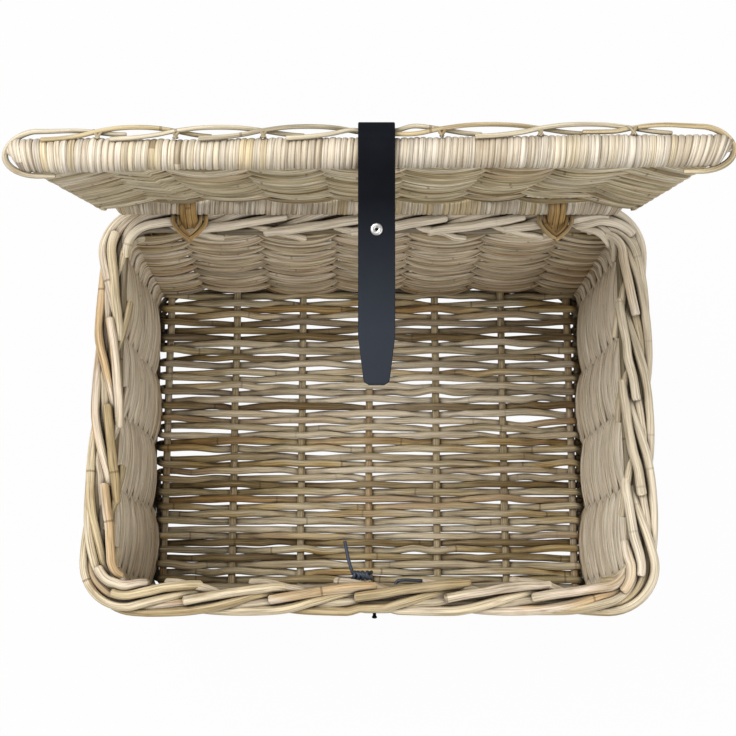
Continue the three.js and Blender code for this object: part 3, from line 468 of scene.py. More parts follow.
def add_stage():
    """A pale floor that the camera sees as white, with a faint shadow, and soft light from above."""
    bpy.ops.mesh.primitive_plane_add(size=12.0, location=(0, 0, -0.0005))
    floor = bpy.context.object
    floor.name = "stage_floor"
    m = Nodes("pale floor")
    m.set(color=(0.55, 0.55, 0.55, 1.0), roughness=0.9)
    rays = m.new("ShaderNodeLightPath").outputs
    mirrored = m.math("MAXIMUM", rays["Is Glossy Ray"], rays["Is Transmission Ray"])
    share = m.math("MULTIPLY", m.math("MAXIMUM", rays["Is Camera Ray"], mirrored), 0.97)
    glow = m.new("ShaderNodeEmission", {"Color": (1, 1, 1, 1), "Strength": 1.0}).outputs[0]
    mixed = m.new("ShaderNodeMixShader", {0: share, 1: m.shader.outputs[0], 2: glow}).outputs[0]
    m.feed(m.tree.nodes["Material Output"].inputs["Surface"], mixed)
    floor.data.materials.append(m.material)
    world = bpy.data.worlds.new("studio")
    bpy.context.scene.world = world
    world.use_nodes = True
    background = world.node_tree.nodes["Background"]
    background.inputs["Color"].default_value = (1.0, 1.0, 1.0, 1.0)
    background.inputs["Strength"].default_value = 0.55
    for name, place, size, power in LAMPS:
        light = bpy.data.lights.new(name, "AREA")
        light.size, light.energy = size, power
        lamp = bpy.data.objects.new(name, light)
        lamp.location = place
        aim = Vector((0, 0, 0.2)) - Vector(place)
        lamp.rotation_euler = aim.to_track_quat("-Z", "Y").to_euler()
        bpy.context.scene.collection.objects.link(lamp)
    bpy.context.scene.view_settings.view_transform = "Standard"


class Outline:
    """A line round the basket along the middle of its walls, with round corners. Places on it are
    distances clockwise from the middle of the back, seen from above."""

    def __init__(self, radius):
        self.radius = radius
        self.flat_x, self.flat_y = WALL_X - radius, WALL_Y - radius
        self.arc = math.pi / 2 * radius
        self.length = 4 * (self.flat_x + self.flat_y + self.arc)

    def at(self, station):
        """Points and outward directions."""
        s = np.mod(np.asarray(station, float), self.length)
        mirrored = s > self.length / 2
        d = np.where(mirrored, self.length - s, s)
        ends = np.cumsum([self.flat_x, self.arc, 2 * self.flat_y, self.arc])
        back_turn = np.clip((d - ends[0]) / self.radius, 0, math.pi / 2)
        front_turn = np.clip((d - ends[2]) / self.radius, 0, math.pi / 2)
        x = np.minimum(d, self.flat_x) + self.radius * np.sin(back_turn)
        x = x - self.radius * (1 - np.cos(front_turn)) - np.clip(d - ends[3], 0, None)
        y = WALL_Y - self.radius * (1 - np.cos(back_turn)) - np.clip(d - ends[1], 0, 2 * self.flat_y)
        y = y - self.radius * np.sin(front_turn)
        turn, flip, level = back_turn + front_turn, np.where(mirrored, -1.0, 1.0), np.zeros_like(x)
        outward = np.stack([np.sin(turn) * flip, np.cos(turn), level], -1)
        return np.stack([x * flip, y + CENTRE_Y, level], -1), outward

    def path(self, station, out, height):
        """Points at a distance out from the line, at a height."""
        point, outward = self.at(station)
        path = point + outward * out[:, None]
        path[:, 2] = height
        return path

    def round_trip(self, count):
        """Stations evenly spaced all the way round."""
        return np.arange(count) * self.length / count


WALL = Outline(12.0)
RIM = Outline(28.0)

# The rim leans a little to the right of the floor and is wider at the front than at the back,
# and the walls draw in towards the floor
LEAN_MIDDLE, LEAN_BACK = 1.8, 1.2
WIDER_FRONT, NARROWER_BACK = 3.6, 2.0
DRAWN_LEFT, DRAWN_RIGHT, DRAWN_DEPTH = 8.0, 8.5, 3.3
# How far in from the wall's middle line the slope begins, and over what distance it comes in
SLOPE_START, SLOPE_RUN = 16, 9


def leaned(path):
    """Points of the walls in millimetres, moved with their slight lean, spread and slope."""
    height = np.clip((path[:, 2] - FLOOR_Z) / (STAKE_TOP - FLOOR_Z), 0, 1)
    share, low = height ** 1.3, 1 - height
    x, y = path[:, 0], path[:, 1] - CENTRE_Y
    back = y / WALL_Y
    spread = np.where(back > 0, -NARROWER_BACK, -WIDER_FRONT) * back
    at_side = np.clip((np.abs(x) - WALL_X + SLOPE_START) / SLOPE_RUN, 0, 1)
    at_depth = np.clip((np.abs(y) - WALL_Y + SLOPE_START) / SLOPE_RUN, 0, 1)
    drawn = low * at_side * np.where(x > 0, -DRAWN_RIGHT, DRAWN_LEFT)
    path[:, 0] = x + drawn + share * (LEAN_MIDDLE + LEAN_BACK * back + spread * x / WALL_X)
    path[:, 1] -= low * at_depth * np.sign(y) * DRAWN_DEPTH
    return path


def over_and_under(posts, place, parity, sharpness):
    """From 1 at one post to -1 at the next and back."""
    i = np.clip(np.searchsorted(posts, place, side="right") - 1, 0, len(posts) - 2)
    c = np.cos(math.pi * (place - posts[i]) / (posts[i + 1] - posts[i]))
    return np.where((i + parity) % 2 == 0, 1.0, -1.0) * np.sign(c) * np.abs(c) ** sharpness


def upright_stations():
    """Where the uprights stand along the walls, clockwise from the middle of the back, all round."""
    ribs = [x for x in RIB_X if x > 1]
    sides = sorted((mm_middle(n)[1] - CENTRE_Y for n in nodes_named("side_stake_right")), reverse=True)
    side_stations = [WALL.flat_x + WALL.arc + WALL.flat_y - y for y in sides]
    half = [0.0, *ribs, *side_stations, *[WALL.length / 2 - s for s in reversed(ribs)]]
    return np.array([*half, WALL.length / 2, *[WALL.length - s for s in reversed(half)]])


def add_rod(node, path, up, radius, body):
    """One upright or stake."""
    strand = Strands().add(path, up, radius, radius, rng.uniform(0.2, 0.9), 10)
    strand.build("rattan_" + node, ROD_CANE, body, [node], "rod")


def rib_path(x):
    """Up the back wall, over the floor and up the front wall, with a kink at each turn."""
    turn = np.radians(np.linspace(0, 90, 7))
    y = WALL_Y - RIB_BEND * (1 - np.cos(turn))
    z = FLOOR_Z + RIB_BEND * (1 - np.sin(turn))
    wall = np.linspace(STAKE_TOP, z[0], 30)[:-1]
    half_y = np.concatenate([np.full(len(wall), WALL_Y), y])
    half_z = np.concatenate([wall, z])
    across = np.linspace(half_y[-1], -half_y[-1], 50)[1:-1]
    ys = np.concatenate([half_y, across, -half_y[::-1]])
    zs = np.concatenate([half_z, np.full(len(across), FLOOR_Z), half_z[::-1]])
    splay = np.where(np.abs(ys) < WALL_Y - 1, 1 - 0.007 * ys / WALL_Y, 1.0)
    return leaned(np.stack([x * splay, ys + CENTRE_Y, zs], -1))


def add_uprights():
    for node, x in zip(RIB_NODES, RIB_X):
        path = rib_path(x)
        path[:, 0] += smooth_noise(len(path), 0.25, 20)
        radius = RIB_RADIUS * (0.97 + smooth_noise(len(path), 0.02, 14))
        add_rod(node, path, (1, 0, 0), radius, "basket")
    for side, sign in (("left", -1), ("right", 1)):
        for node in nodes_named(f"side_stake_{side}"):
            low, high = mm_box(node)
            z = np.linspace(low[2], high[2], 30)
            x = sign * WALL_X + smooth_noise(len(z), 0.2, 8)
            path = leaned(np.stack([x, np.full_like(z, (low[1] + high[1]) / 2), z], -1))
            add_rod(node, path, (0, 1, 0), RIB_RADIUS * 0.97, "basket")


# Foot: flat rods that twist round each other, outside the uprights
FOOT_RODS = 3
FOOT_TURNS = 22
FOOT_ROD_HIGH = 3.6


def add_foot():
    low, high = mm_box("foot_hoop")
    inner, outer = RIB_RADIUS + 0.3, high[0] - WALL_X
    half_thick = (outer - inner) / 4 + 0.25
    sway = (outer - inner) / 2 - half_thick
    centre_z = (low[2] + high[2]) / 2
    rise = centre_z - FOOT_ROD_HIGH - 0.05
    station = WALL.round_trip(600)
    strands = Strands()
    for rod in range(FOOT_RODS):
        phase = 2 * math.pi * (station / WALL.length * FOOT_TURNS + rod / FOOT_RODS)
        path = WALL.path(station, (inner + outer) / 2 + sway * np.cos(phase), centre_z + rise * np.sin(phase))
        strands.add(leaned(path), UP, half_thick, FOOT_ROD_HIGH, rng.uniform(0, 1), closed=True)
    strands.build("woven_foot", ROD_CANE, "basket", ["foot_hoop"], "rod")


# Floor: one long rod that runs to and fro over and under the ribs
FLOOR_ROWS = 43
FLOOR_ROD_RADIUS = 3.3
FLOOR_HALF_DEPTH = 145.5
FLOOR_LOOP = 0.8
# The larger gaps: across, back from the middle, half length, opening
FLOOR_GAPS = (
    (-182.0, 10.0, 34.0, 6.4), (-172.0, -12.0, 28.0, 4.4), (-178.0, -31.0, 24.0, 3.4),
    (158.0, 27.0, 26.0, 8.4), (166.0, -52.0, 26.0, 3.0), (186.0, -110.0, 22.0, 5.4),
    (-120.0, 118.0, 30.0, 2.6),
)
# Rods round the foot of the walls inside, painted dark as the shade between the walls and the floor, as
# distance in from the walls at the sides and along the depth, and the share of the way round that they are
# left out, from and to
BASE_RINGS = ((7.5, 4.0, 0.0, 0.0), (12.6, 9.0, 0.727, 0.816))
BASE_RING_RADIUS, BASE_RING_Z = 2.6, 3.2


def floor_shift(x, y):
    """How far the rods are pushed aside by the larger gaps in the floor."""
    push = np.zeros_like(x)
    for across, back, half_length, opening in FLOOR_GAPS:
        reach = np.exp(-((x - across) / half_length) ** 2)
        distance = y - back
        push += 0.5 * opening * reach * np.tanh(distance / 1.5) * np.exp(-np.abs(distance) / 16)
    return push


def floor_shade_and_tone(x, y, loops_from):
    """Painted shade on the dark loops at the sides, where they turn down beside the walls, each rod's own
    tone, a paler middle, and darker to the left and the front.
    """
    # Painted shade on the turned ends beside the walls
    loop_shade = np.clip((np.abs(x) - loops_from) / 4, 0, 1) * rng.uniform(0.7, 1.0)
    own = rng.uniform(-0.50, 0.16)
    middle = np.exp(-((x - 10) / 130) ** 2 - ((y + 10) / 95) ** 2)
    corner = 0.10 * np.clip(-y / 150, -1, 1) + 0.12 * np.clip(-x / 150, 0, 1)
    return loop_shade + own - 0.32 * middle + corner + smooth_noise(len(x), 0.08, 7)


def add_base_rings(strands):
    count = 500
    for aside, ahead, gap_from, gap_to in BASE_RINGS:
        station = np.linspace(gap_to, gap_from + 1, count) * RIM.length
        outward = np.abs(RIM.at(station)[1])
        inward = aside * outward[:, 0] + ahead * outward[:, 1] + smooth_noise(count, 0.7, 60)
        path = RIM.path(station, -inward, BASE_RING_Z + smooth_noise(count, 0.4, 50))
        # Painted shade: these rods are darkened most of the way to dark brown
        strands.add(path, UP, BASE_RING_RADIUS, BASE_RING_RADIUS, rng.uniform(0, 1), soil=0.8)


def add_floor():
    strands = Strands()
    pitch = 2 * FLOOR_HALF_DEPTH / (FLOOR_ROWS - 1)
    swing = RIB_RADIUS + FLOOR_ROD_RADIUS - 0.8
    reach = RIB_RADIUS + FLOOR_ROD_RADIUS + FLOOR_LOOP
    left, right = RIB_X[0], RIB_X[-1]
    spacing = (right - left) / (len(RIB_X) - 1)
    turn = np.radians(np.linspace(12, 94, 8))
    for row in range(FLOOR_ROWS):
        y = FLOOR_HALF_DEPTH - row * pitch
        x = np.linspace(left, right, 181)
        lift = np.cos(math.pi * ((x - left) / spacing + row))
        z = swing * np.sign(lift) * np.abs(lift) ** 1.5
        loops = []
        for end, sign in ((0, -1), (-1, 1)):
            to_next = sign * (1 if row % 2 == 0 else -1)
            loop_x = x[end] + sign * reach * np.sin(turn)
            loop_y = y - to_next * 0.42 * pitch * (turn / turn[-1]) ** 2
            loops.append(np.stack([loop_x, loop_y, np.sign(z[end]) * swing * np.cos(turn)], -1))
        path = np.vstack([loops[0][::-1], np.stack([x, np.full_like(x, y), z], -1), loops[1]])
        slim = np.concatenate([np.ones(len(turn)), np.abs(lift), np.ones(len(turn))])
        aside = floor_shift(path[:, 0], path[:, 1]) + smooth_noise(len(path), 0.6, 20)
        path[:, 1] += aside + 0.3 * rng.normal()
        path[:, 1] += CENTRE_Y
        path[:, 2] += FLOOR_Z + smooth_noise(len(path), 0.3, 14)
        radius = FLOOR_ROD_RADIUS * (1 + 0.04 * rng.normal() + smooth_noise(len(path), 0.03, 10))
        wide = radius * (1.06 - 0.03 * slim)
        wide[:len(turn)], wide[-len(turn):] = wide[:len(turn)] * 0.9, wide[-len(turn):] * 0.9
        tone = rng.uniform(0.0, 1.0)
        soil = floor_shade_and_tone(path[:, 0], y, right + 1.5)
        strands.add(path, UP, wide, radius * 0.96, tone, soil=soil)
    add_base_rings(strands)
    strands.build("woven_floor", FLOOR_CANE, "basket", ["floor_weaver"], "cane")


# Walls: rows of fine strands side by side, which pass inside and outside the uprights in turn
WALL_PIECES = (("woven_wall_a", "wall_weaver_first"), ("woven_wall_b", "wall_weaver_second"))
WALL_ROWS = 16
WALL_STRANDS = 6
WALL_LOW = FLOOR_Z + RIB_RADIUS - 2.0
WALL_HIGH = STAKE_TOP - 4.0
WALL_STRAND_THICK = 1.7
SWING_OUT = RIB_RADIUS + WALL_STRAND_THICK
SWING_IN_SIDE, SWING_IN_DEPTH = 6.0, 7.2
# Painted light: how much paler each wall's strands are painted, the side walls much more than the back
WALL_LIGHT_LEFT, WALL_LIGHT_RIGHT, WALL_LIGHT_BACK = 0.84, 1.0, 0.30


def add_walls():
    pitch = (WALL_HIGH - WALL_LOW) / WALL_ROWS
    count = 600
    station = WALL.round_trip(count)
    outward = WALL.at(station)[1]
    wave = over_and_under(upright_stations(), station, 0, 0.72)
    crest = np.abs(wave)
    beside = np.abs(outward[:, 0])
    # Painted shade in the back corners of the walls
    corner = WALL.flat_x + WALL.arc / 2
    to_corner = np.minimum(np.abs(station - corner), np.abs(WALL.length - corner - station))
    shade = 0.34 * np.exp(-(to_corner / 32) ** 2)
    # Painted light for each strand, by the way its wall faces
    painted_light = beside * np.where(outward[:, 0] > 0, WALL_LIGHT_RIGHT, WALL_LIGHT_LEFT) + (1 - beside) * WALL_LIGHT_BACK
    for parity, (name, node) in enumerate(WALL_PIECES):
        strands = Strands()
        c = wave if parity == 0 else -wave
        for row in range(parity, WALL_ROWS, 2):
            swing_in = SWING_IN_DEPTH + (SWING_IN_SIDE - SWING_IN_DEPTH) * beside + rng.normal() * 0.4
            sag = smooth_noise(count, 0.9, 26, ring=True)
            for part in range(WALL_STRANDS):
                side = part - (WALL_STRANDS - 1) / 2
                out = np.where(c > 0, SWING_OUT * c, (swing_in - 0.4 * abs(side)) * c)
                out = out + smooth_noise(count, 0.3, 60, ring=True)
                height = WALL_LOW + (row + 0.5) * pitch + side * pitch * (0.165 + 0.135 * crest) + sag
                height = height + smooth_noise(count, 0.3, 70, ring=True)
                path = leaned(WALL.path(station, out, np.maximum(height, WALL_LOW + 1.0)))
                thick = WALL_STRAND_THICK * (1 + 0.07 * rng.normal())
                high = pitch * (0.115 + 0.065 * crest) * (1 + 0.08 * rng.normal())
                # Painted shade on the lowest rows, by the floor, and in the back corners, over each strand's
                # own random tone
                soil = rng.normal() * 0.14 + 0.45 * math.exp(-row / 0.9) + shade
                # Painted light makes the strands paler by their wall
                soil = soil - painted_light * rng.uniform(0.55, 1.4) + smooth_noise(count, 0.05, 30, ring=True)
                strands.add(path, UP, thick, high, rng.uniform(0, 1), 6, closed=True, soil=soil)
        strands.build(name, CANE, "basket", [node], "cane")


# Border: the cut end of each rod on the rim, as distance clockwise from the middle of the back
# seen from above, and distance out from the middle line
CUT_ENDS = (
    (1222.5, 6.0), (1151.3, 1.6), (1078.2, 1.0), (1013.0, -0.6), (945.8, 0.8), (923.3, 2.0), (866.4, 4.0),
    (798.8, 3.4), (730.9, 1.4), (659.9, 2.0), (590.5, 1.4), (518.2, -0.6), (499.0, 1.4), (434.0, 2.8),
    (355.9, 2.6), (284.6, 3.9), (218.9, 7.5), (198.0, 5.0), (128.0, 3.0), (62.0, 2.4), (1434.0, 2.0),
    (1366.0, 3.2), (1296.0, 3.0),
)
BORDER_TOP = 251.5
# Painted light: the border is painted paler on the right, and more so at the back
BORDER_LIGHT_RIGHT, BORDER_LIGHT_BACK = 0.48, 0.80
# Rods that fill the border below the others, painted dark as the shade under them, as distance out from the
# middle line
FILLING = (-5.5, 0.5, 6.5)
# Runs from a cut end, counterclockwise seen from above: distance on, outward, and height from the
# top. In the first one the distance is a share of the way to the next cut end.
OVER_RUN = (
    (0.0, 0.0, 0.0), (0.30, -3.2, 0.0), (0.57, -6.3, -0.4), (0.85, -8.8, -1.2), (1.05, -10.0, -3.0),
    (1.22, -10.4, -6.5),
)
OUTER_RUN = (
    (-160, -4.0, -20.0), (-144, 3.5, -14.0), (-125, 9.4, -10.0), (-99, 11.6, -7.6), (-68, 11.4, -4.6),
    (-50, 9.2, -3.0), (-34, 5.2, -2.6), (-17, 0.4, -4.6), (-3, -3.0, -7.2), (14, -6.6, -11.0),
)
MIDDLE_RUN = ((-44, 6.6, -10.0), (-24, 5.6, -7.0), (-8, 4.0, -6.2), (10, 2.0, -8.2), (30, 0.0, -11.0))
INNER_RUN = ((-16, -12.0, -13.0), (-4, -11.0, -8.0), (12, -7.6, -6.6), (30, -3.0, -8.0), (46, 2.0, -11.0))


def border_rod(strands, start, run, shift, radius, count, jitter=0.35, soil=0.0):
    """A rod along the rim, from a run of (distance on, outward, height) and a shift outward."""
    on, out, height = spline(run, count).T
    out = out + (shift + smooth_noise(count, jitter, 6))
    height = height + (BORDER_TOP - radius + smooth_noise(count, jitter * 0.5, 6))
    outward = RIM.at(start - on)[1]
    path = RIM.path(start - on, out, height)
    # The closed strap presses the border flat
    from_strap = np.clip((np.abs(path[:, 0] - STRAP_X) - 13) / 12, 0, 1)
    path[:, 1] = np.maximum(path[:, 1], BORDER_LOW[1] + radius + 0.2 - 4 * from_strap)
    # Painted light on the rods at the right and the back
    right, back = np.clip(outward[:, :2], 0, 1).T
    painted_light = BORDER_LIGHT_RIGHT * right + BORDER_LIGHT_BACK * back
    taper = radius * (1 + smooth_noise(count, 0.03, 6))
    strands.add(leaned(path), UP, taper, taper, rng.uniform(0, 1), sides=12, soil=soil - painted_light)


def add_border():
    """Rods that come out between the uprights, run along the outer edge, cross over to the
    inside and end on top."""
    under, over = Strands(), Strands()
    for i, (station, outward) in enumerate(CUT_ENDS):
        gap = (station - CUT_ENDS[(i + 1) % len(CUT_ENDS)][0]) % RIM.length
        reach = max(gap, 38.0) * (1 + 0.03 * rng.normal())
        over_run = [(p * reach, out, z) for p, out, z in OVER_RUN]
        border_rod(over, station, over_run, outward, 4.0 * (1 + 0.04 * rng.normal()), 56)
        border_rod(under, station, OUTER_RUN, 0.25 * outward, 3.9 * (1 + 0.04 * rng.normal()), 80, 0.5)
        # The middle and inner rods lie lower and are painted darker, as shade
        border_rod(under, station, MIDDLE_RUN, 0.5 * outward, 3.6, 40, soil=0.25)
        border_rod(under, station, INNER_RUN, 0.3 * outward, 3.5, 40, soil=0.15)
    station = RIM.round_trip(500)
    for offset in FILLING:
        out = offset + smooth_noise(500, 0.5, 50, ring=True)
        path = RIM.path(station, out, BORDER_TOP - 12.0 + smooth_noise(500, 0.4, 50, ring=True))
        # Painted shade: the filling rods are darkened towards dark brown
        under.add(leaned(path), UP, 3.8, 3.4, rng.uniform(0, 1), closed=True, soil=0.72)
    under.build("border_rods_under", BORDER_CANE, "basket", BORDER_NODES, "pale_cane")
    over.build("border_rods_over", BORDER_CANE, "basket", (), "pale_cane")


# Lid, in its own plane: across, forward from the hinge, and up from its middle
LID_ANGLE = math.radians(79.1)
LID_LENGTH = 328.5
FRONT_BAR_RADIUS = 10.4
REAR_BAR_RADIUS = 8.0
SIDE_ROD_RADIUS = 4.0
SIDE_ROD_REAR, SIDE_ROD_FRONT = 215.0, 214.5
LID_STAKE_RADIUS = 3.0
LID_STAKE_SHIFT = (15.0, 14.0, 9.0, 5.0, 6.0, 0.0, -11.0)
LID_STAKE_X = [float(mm_middle(n)[0]) + shift for n, shift in zip(LID_STAKE_NODES, LID_STAKE_SHIFT)]
# The last rows rise out of the front bar only at the sides
LID_ROWS, LID_SIDE_ROWS = 22, 3
LID_STRANDS = 3
LID_FIRST = REAR_BAR_RADIUS + 4.0
LID_LAST = LID_LENGTH - FRONT_BAR_RADIUS - 3.6
LID_STRAND_THICK = 1.5
LID_SWING, LID_SIDE_SWING = 4.6, 2.0
# How far the strands sink towards the side rods, how far the panel bows back and how much more
# at its right, and how far the lid's right front corner is twisted back
LID_SIDE_DROP = 50.0
LID_BOW, LID_BOW_RIGHT = 6.6, 6.0
LID_TWIST = 3.2


def lid_direction(across, forward, up):
    across, forward, up = np.broadcast_arrays(*(np.asarray(v, float) for v in (across, forward, up)))
    c, s = math.cos(LID_ANGLE), math.sin(LID_ANGLE)
    return np.stack([across, up * s - forward * c, forward * s + up * c], -1)


LID_UP = lid_direction(0, 0, 1)
LID_FORWARD = lid_direction(0, 1, 0)


def lid_point(across, forward, up):
    """Points of the lid in the frame, at rest."""
    twist = LID_TWIST * (np.asarray(across) + SIDE_ROD_FRONT) / (2 * SIDE_ROD_FRONT)
    return lid_direction(across, forward, up + twist * np.asarray(forward) / LID_LENGTH) + HINGE


def lid_bow(across, forward):
    """How far the panel bows back between its sides, less at the rear bar and not at all in
    the front third."""
    share = np.clip(forward / 220.0, 0, 1)
    side = np.clip((np.abs(across) - 145) / 70, 0, 1)
    at_right = np.clip((np.asarray(across) - 40) / 100, 0, 1)
    right = LID_BOW_RIGHT * at_right * np.clip((forward - 24) / 60, 0, 1)
    bow = LID_BOW * (0.55 + 0.45 * np.clip((forward - 12) / 50, 0, 1)) + right
    return (1 - ease(share)) * (1 - ease(side)) * bow


def side_rod_x(forward):
    return SIDE_ROD_REAR + (SIDE_ROD_FRONT - SIDE_ROD_REAR) * forward / LID_LENGTH


def add_lid_frame():
    forward = np.linspace(REAR_BAR_RADIUS + 0.3, LID_LENGTH - FRONT_BAR_RADIUS - 0.3, 50)
    rods = [("lid_side_rod_left", -side_rod_x(forward), SIDE_ROD_RADIUS)]
    rods += [("lid_side_rod_right", side_rod_x(forward), SIDE_ROD_RADIUS)]
    rods += [(n, x, LID_STAKE_RADIUS) for n, x in zip(LID_STAKE_NODES, LID_STAKE_X)]
    for node, x, radius in rods:
        path = lid_point(x + smooth_noise(len(forward), 0.15, 8), forward, lid_bow(x, forward))
        add_rod(node, path, LID_UP, radius * 0.97, "lid")


def lid_row(row, pitch):
    """One row from side rod to side rod and its turns round them. The columns are across, up, the
    step towards the next row, the share of the sink, and the strand's own upward direction."""
    level = LID_FIRST + (row + 0.5) * pitch
    edge = side_rod_x(min(level, LID_LAST) - LID_SIDE_DROP * level / LID_LENGTH)
    posts = np.array([-edge, *LID_STAKE_X, edge])
    x = np.linspace(-edge, edge, 201)
    wave = over_and_under(posts, x, row, 0.75)
    outermost = np.clip((np.abs(x) - posts[-2]) / (edge - posts[-2]), 0, 1)
    from_rod = 1 - outermost
    ramp = 0.6 * (1 - 2 * from_rod ** 1.2) + 0.4 * np.cos(math.pi * from_rod ** 1.4)
    wave = np.where(outermost > 0, np.where(x < 0, wave[0], wave[-1]) * ramp, wave)
    swing = LID_SWING if row < LID_ROWS else LID_SIDE_SWING
    round_turn = SIDE_ROD_RADIUS + LID_STRAND_THICK + 0.3
    up = (swing + (round_turn - swing) * outermost) * wave
    up = np.where(up < 0, up * min(0.6 + 0.08 * row, 1.0), up)
    turn = np.radians(np.linspace(10, 92, 7))
    step = 0.5 * (turn / turn[-1]) ** 1.5 * (1 if row % 2 == 0 else -1)
    ends = []
    for sign, face in ((-1, np.sign(wave[0])), (1, np.sign(wave[-1]))):
        across, rise = sign * (edge + round_turn * np.sin(turn)), face * round_turn * np.cos(turn)
        turned = sign * face * ACROSS * np.sin(turn)[:, None] + LID_UP * np.cos(turn)[:, None]
        ends.append(np.column_stack([across, rise, sign * step, np.ones(len(turn)), turned]))
    flat = np.column_stack([x, up, np.zeros(len(x)), outermost, np.tile(LID_UP, (len(x), 1))])
    return level, np.vstack([ends[0][::-1], flat, ends[1]])


def add_lid_panel():
    """Rows of flat strands that turn round the side rods and come back as the next row."""
    pitch = (LID_LAST - LID_FIRST) / LID_ROWS
    strands = Strands()
    for row in range(LID_ROWS + LID_SIDE_ROWS):
        level, columns = lid_row(row, pitch)
        x, up, step, sunk = columns[:, :4].T
        crest = np.clip(np.abs(up) / LID_SWING, 0, 1)
        sink = LID_SIDE_DROP * level / LID_LENGTH * sunk
        for part in range(LID_STRANDS):
            side = part - (LID_STRANDS - 1) / 2
            drift = smooth_noise(len(x), 0.3, 18)
            forward = level - sink + (side * (0.30 + 0.07 * crest) + step) * pitch + drift
            forward = np.clip(forward, REAR_BAR_RADIUS + 2.5 + 0.8 * part, LID_LENGTH - 4.0)
            rise = up * (1 - 0.06 * abs(side)) + lid_bow(x, forward) + smooth_noise(len(x), 0.2, 18)
            soil = rng.uniform(-0.08, 0.24) - 0.10 - 0.12 * np.clip(-x / 100, 0, 1)
            wide, tone = pitch * (0.19 + 0.03 * crest), rng.uniform(0, 1)
            strands.add(lid_point(x, forward, rise), columns[:, 4:], wide, LID_STRAND_THICK, tone, soil=soil)
    strands.build("woven_lid", LID_CANE, "lid", ["lid_weaver"], "cane")


# Where along the front bar it is thicker and thinner
FRONT_BAR_SWELL = (
    (-215, 1.0), (-195, 1.06), (-165, 1.04), (-140, 0.94), (-110, 0.93), (-60, 0.97), (0, 0.96), (45, 0.93),
    (100, 0.99), (135, 1.02), (190, 0.98), (230, 0.98),
)
REAR_BAR_HALF = 212.0
FRONT_WRAP_PITCH, REAR_WRAP_PITCH = 4.1, 4.4
WRAP_THICK = 1.1
# Points to a turn of the winding, how far from the ends the turns fan out, and by how much
WRAP_STEPS = 26
FAN_REACH, FAN_SLANT = 45, 3.0


def bar_wrap(name, forward, radius, half_length, pitch, node_names, swell=((0, 1.0),)):
    """Cane wound round a bar, over its round ends too."""
    soft = 0.62 * radius
    straight = half_length - soft
    profile = [(-half_length, 1.4)]
    profile += [(-straight - soft * math.cos(a), radius - soft + soft * math.sin(a))
                for a in np.linspace(0.1, math.pi / 2, 11)]
    profile += [(x, radius) for x in np.linspace(-straight, straight, 160)[1:-1]]
    profile += [(-x, r) for x, r in profile[:12][::-1]]
    profile = np.array(profile)
    length = lengths_along(profile)
    loops = int(length[-1] / pitch)
    width = rng.uniform(0.84, 1.16, loops)
    width *= length[-1] / width.sum()
    count = loops * WRAP_STEPS
    time = np.arange(count) / WRAP_STEPS
    place = np.interp(time, np.arange(loops + 1), np.concatenate([[0], np.cumsum(width)]))
    x, r = (np.interp(place, length, column) for column in profile.T)
    angle = math.pi * (2 * time + 1)
    c, s = np.cos(angle), np.sin(angle)
    x = x + FAN_SLANT * np.clip((np.abs(x) - half_length + FAN_REACH) / FAN_REACH, 0, 1) * np.sign(x) * s
    reach = r * np.interp(x, *zip(*swell)) - WRAP_THICK + smooth_noise(count, 0.2, loops)
    lean = np.interp(place, length, np.gradient(profile[:, 1], length))[:, None]
    radial = LID_FORWARD * c[:, None] + LID_UP * s[:, None]
    ups = radial * np.sqrt(np.clip(1 - lean**2, 0.02, 1)) - ACROSS * lean
    group = np.repeat(rng.uniform(0, 1, loops // 6 + 1), 6 * WRAP_STEPS)[:count]
    single = np.repeat(rng.uniform(-0.22, 0.22, loops), WRAP_STEPS)[:count]
    half_width = 0.53 * np.interp(time, np.arange(loops) + 0.5, width)
    # Painted shade: each turn is darker on its side towards the lid's up direction, and a little everywhere
    far_side_shade = 0.04 + 0.22 * np.clip(s, 0, 1) ** 2 + smooth_noise(count, 0.05, loops)
    path = lid_point(x, forward + reach * c, reach * s)
    strands = Strands().add(path, ups, half_width, WRAP_THICK, np.clip(group + single, 0, 1), 10, soil=far_side_shade)
    strands.build(name, WRAP_CANE, "lid", node_names, "pale_cane")


def add_lid_bars():
    half = float(mm_box("lid_front_bar")[1][0])
    nodes = ["lid_front_wrap", "lid_front_bar"]
    bar_wrap("front_bar_wrap", LID_LENGTH, FRONT_BAR_RADIUS, half, FRONT_WRAP_PITCH, nodes, FRONT_BAR_SWELL)
    nodes = ["lid_rear_wrap", "lid_rear_bar"]
    bar_wrap("rear_bar_wrap", 0.0, REAR_BAR_RADIUS, REAR_BAR_HALF, REAR_WRAP_PITCH, nodes)


# Edging: rods that stand in scallops along the outer side of the front bar. Each one crosses
# the next at half its height, over a node where a short binding holds them to the bar.
EDGING_NODES = (-206.0, -169.0, -121.0, -66.0, -11.0, 45.0, 107.0, 164.0, 206.0)
EDGING_END = 230.0
EDGING_RADIUS = 2.1
EDGING_LOW = FRONT_BAR_RADIUS + 0.3 + EDGING_RADIUS
EDGING_PRESSED = 0.6
# Share of the way between two nodes, angle round the bar (90 is its outer side), distance out
EDGING_ARC = (
    (-0.72, 46, -0.8), (-0.45, 54, -0.8), (-0.22, 67, -0.2), (0.0, 80, 2.0), (0.25, 87, 4.0), (0.5, 90, 4.6),
    (0.75, 92, 4.0), (1.0, 97, 2.2), (1.25, 104, 0.2), (1.45, 110, -0.4),
)


def edging_point(x, angle, out):
    turn = np.radians(angle)
    reach = EDGING_LOW + out
    return lid_point(x, LID_LENGTH + reach * np.cos(turn), reach * np.sin(turn))


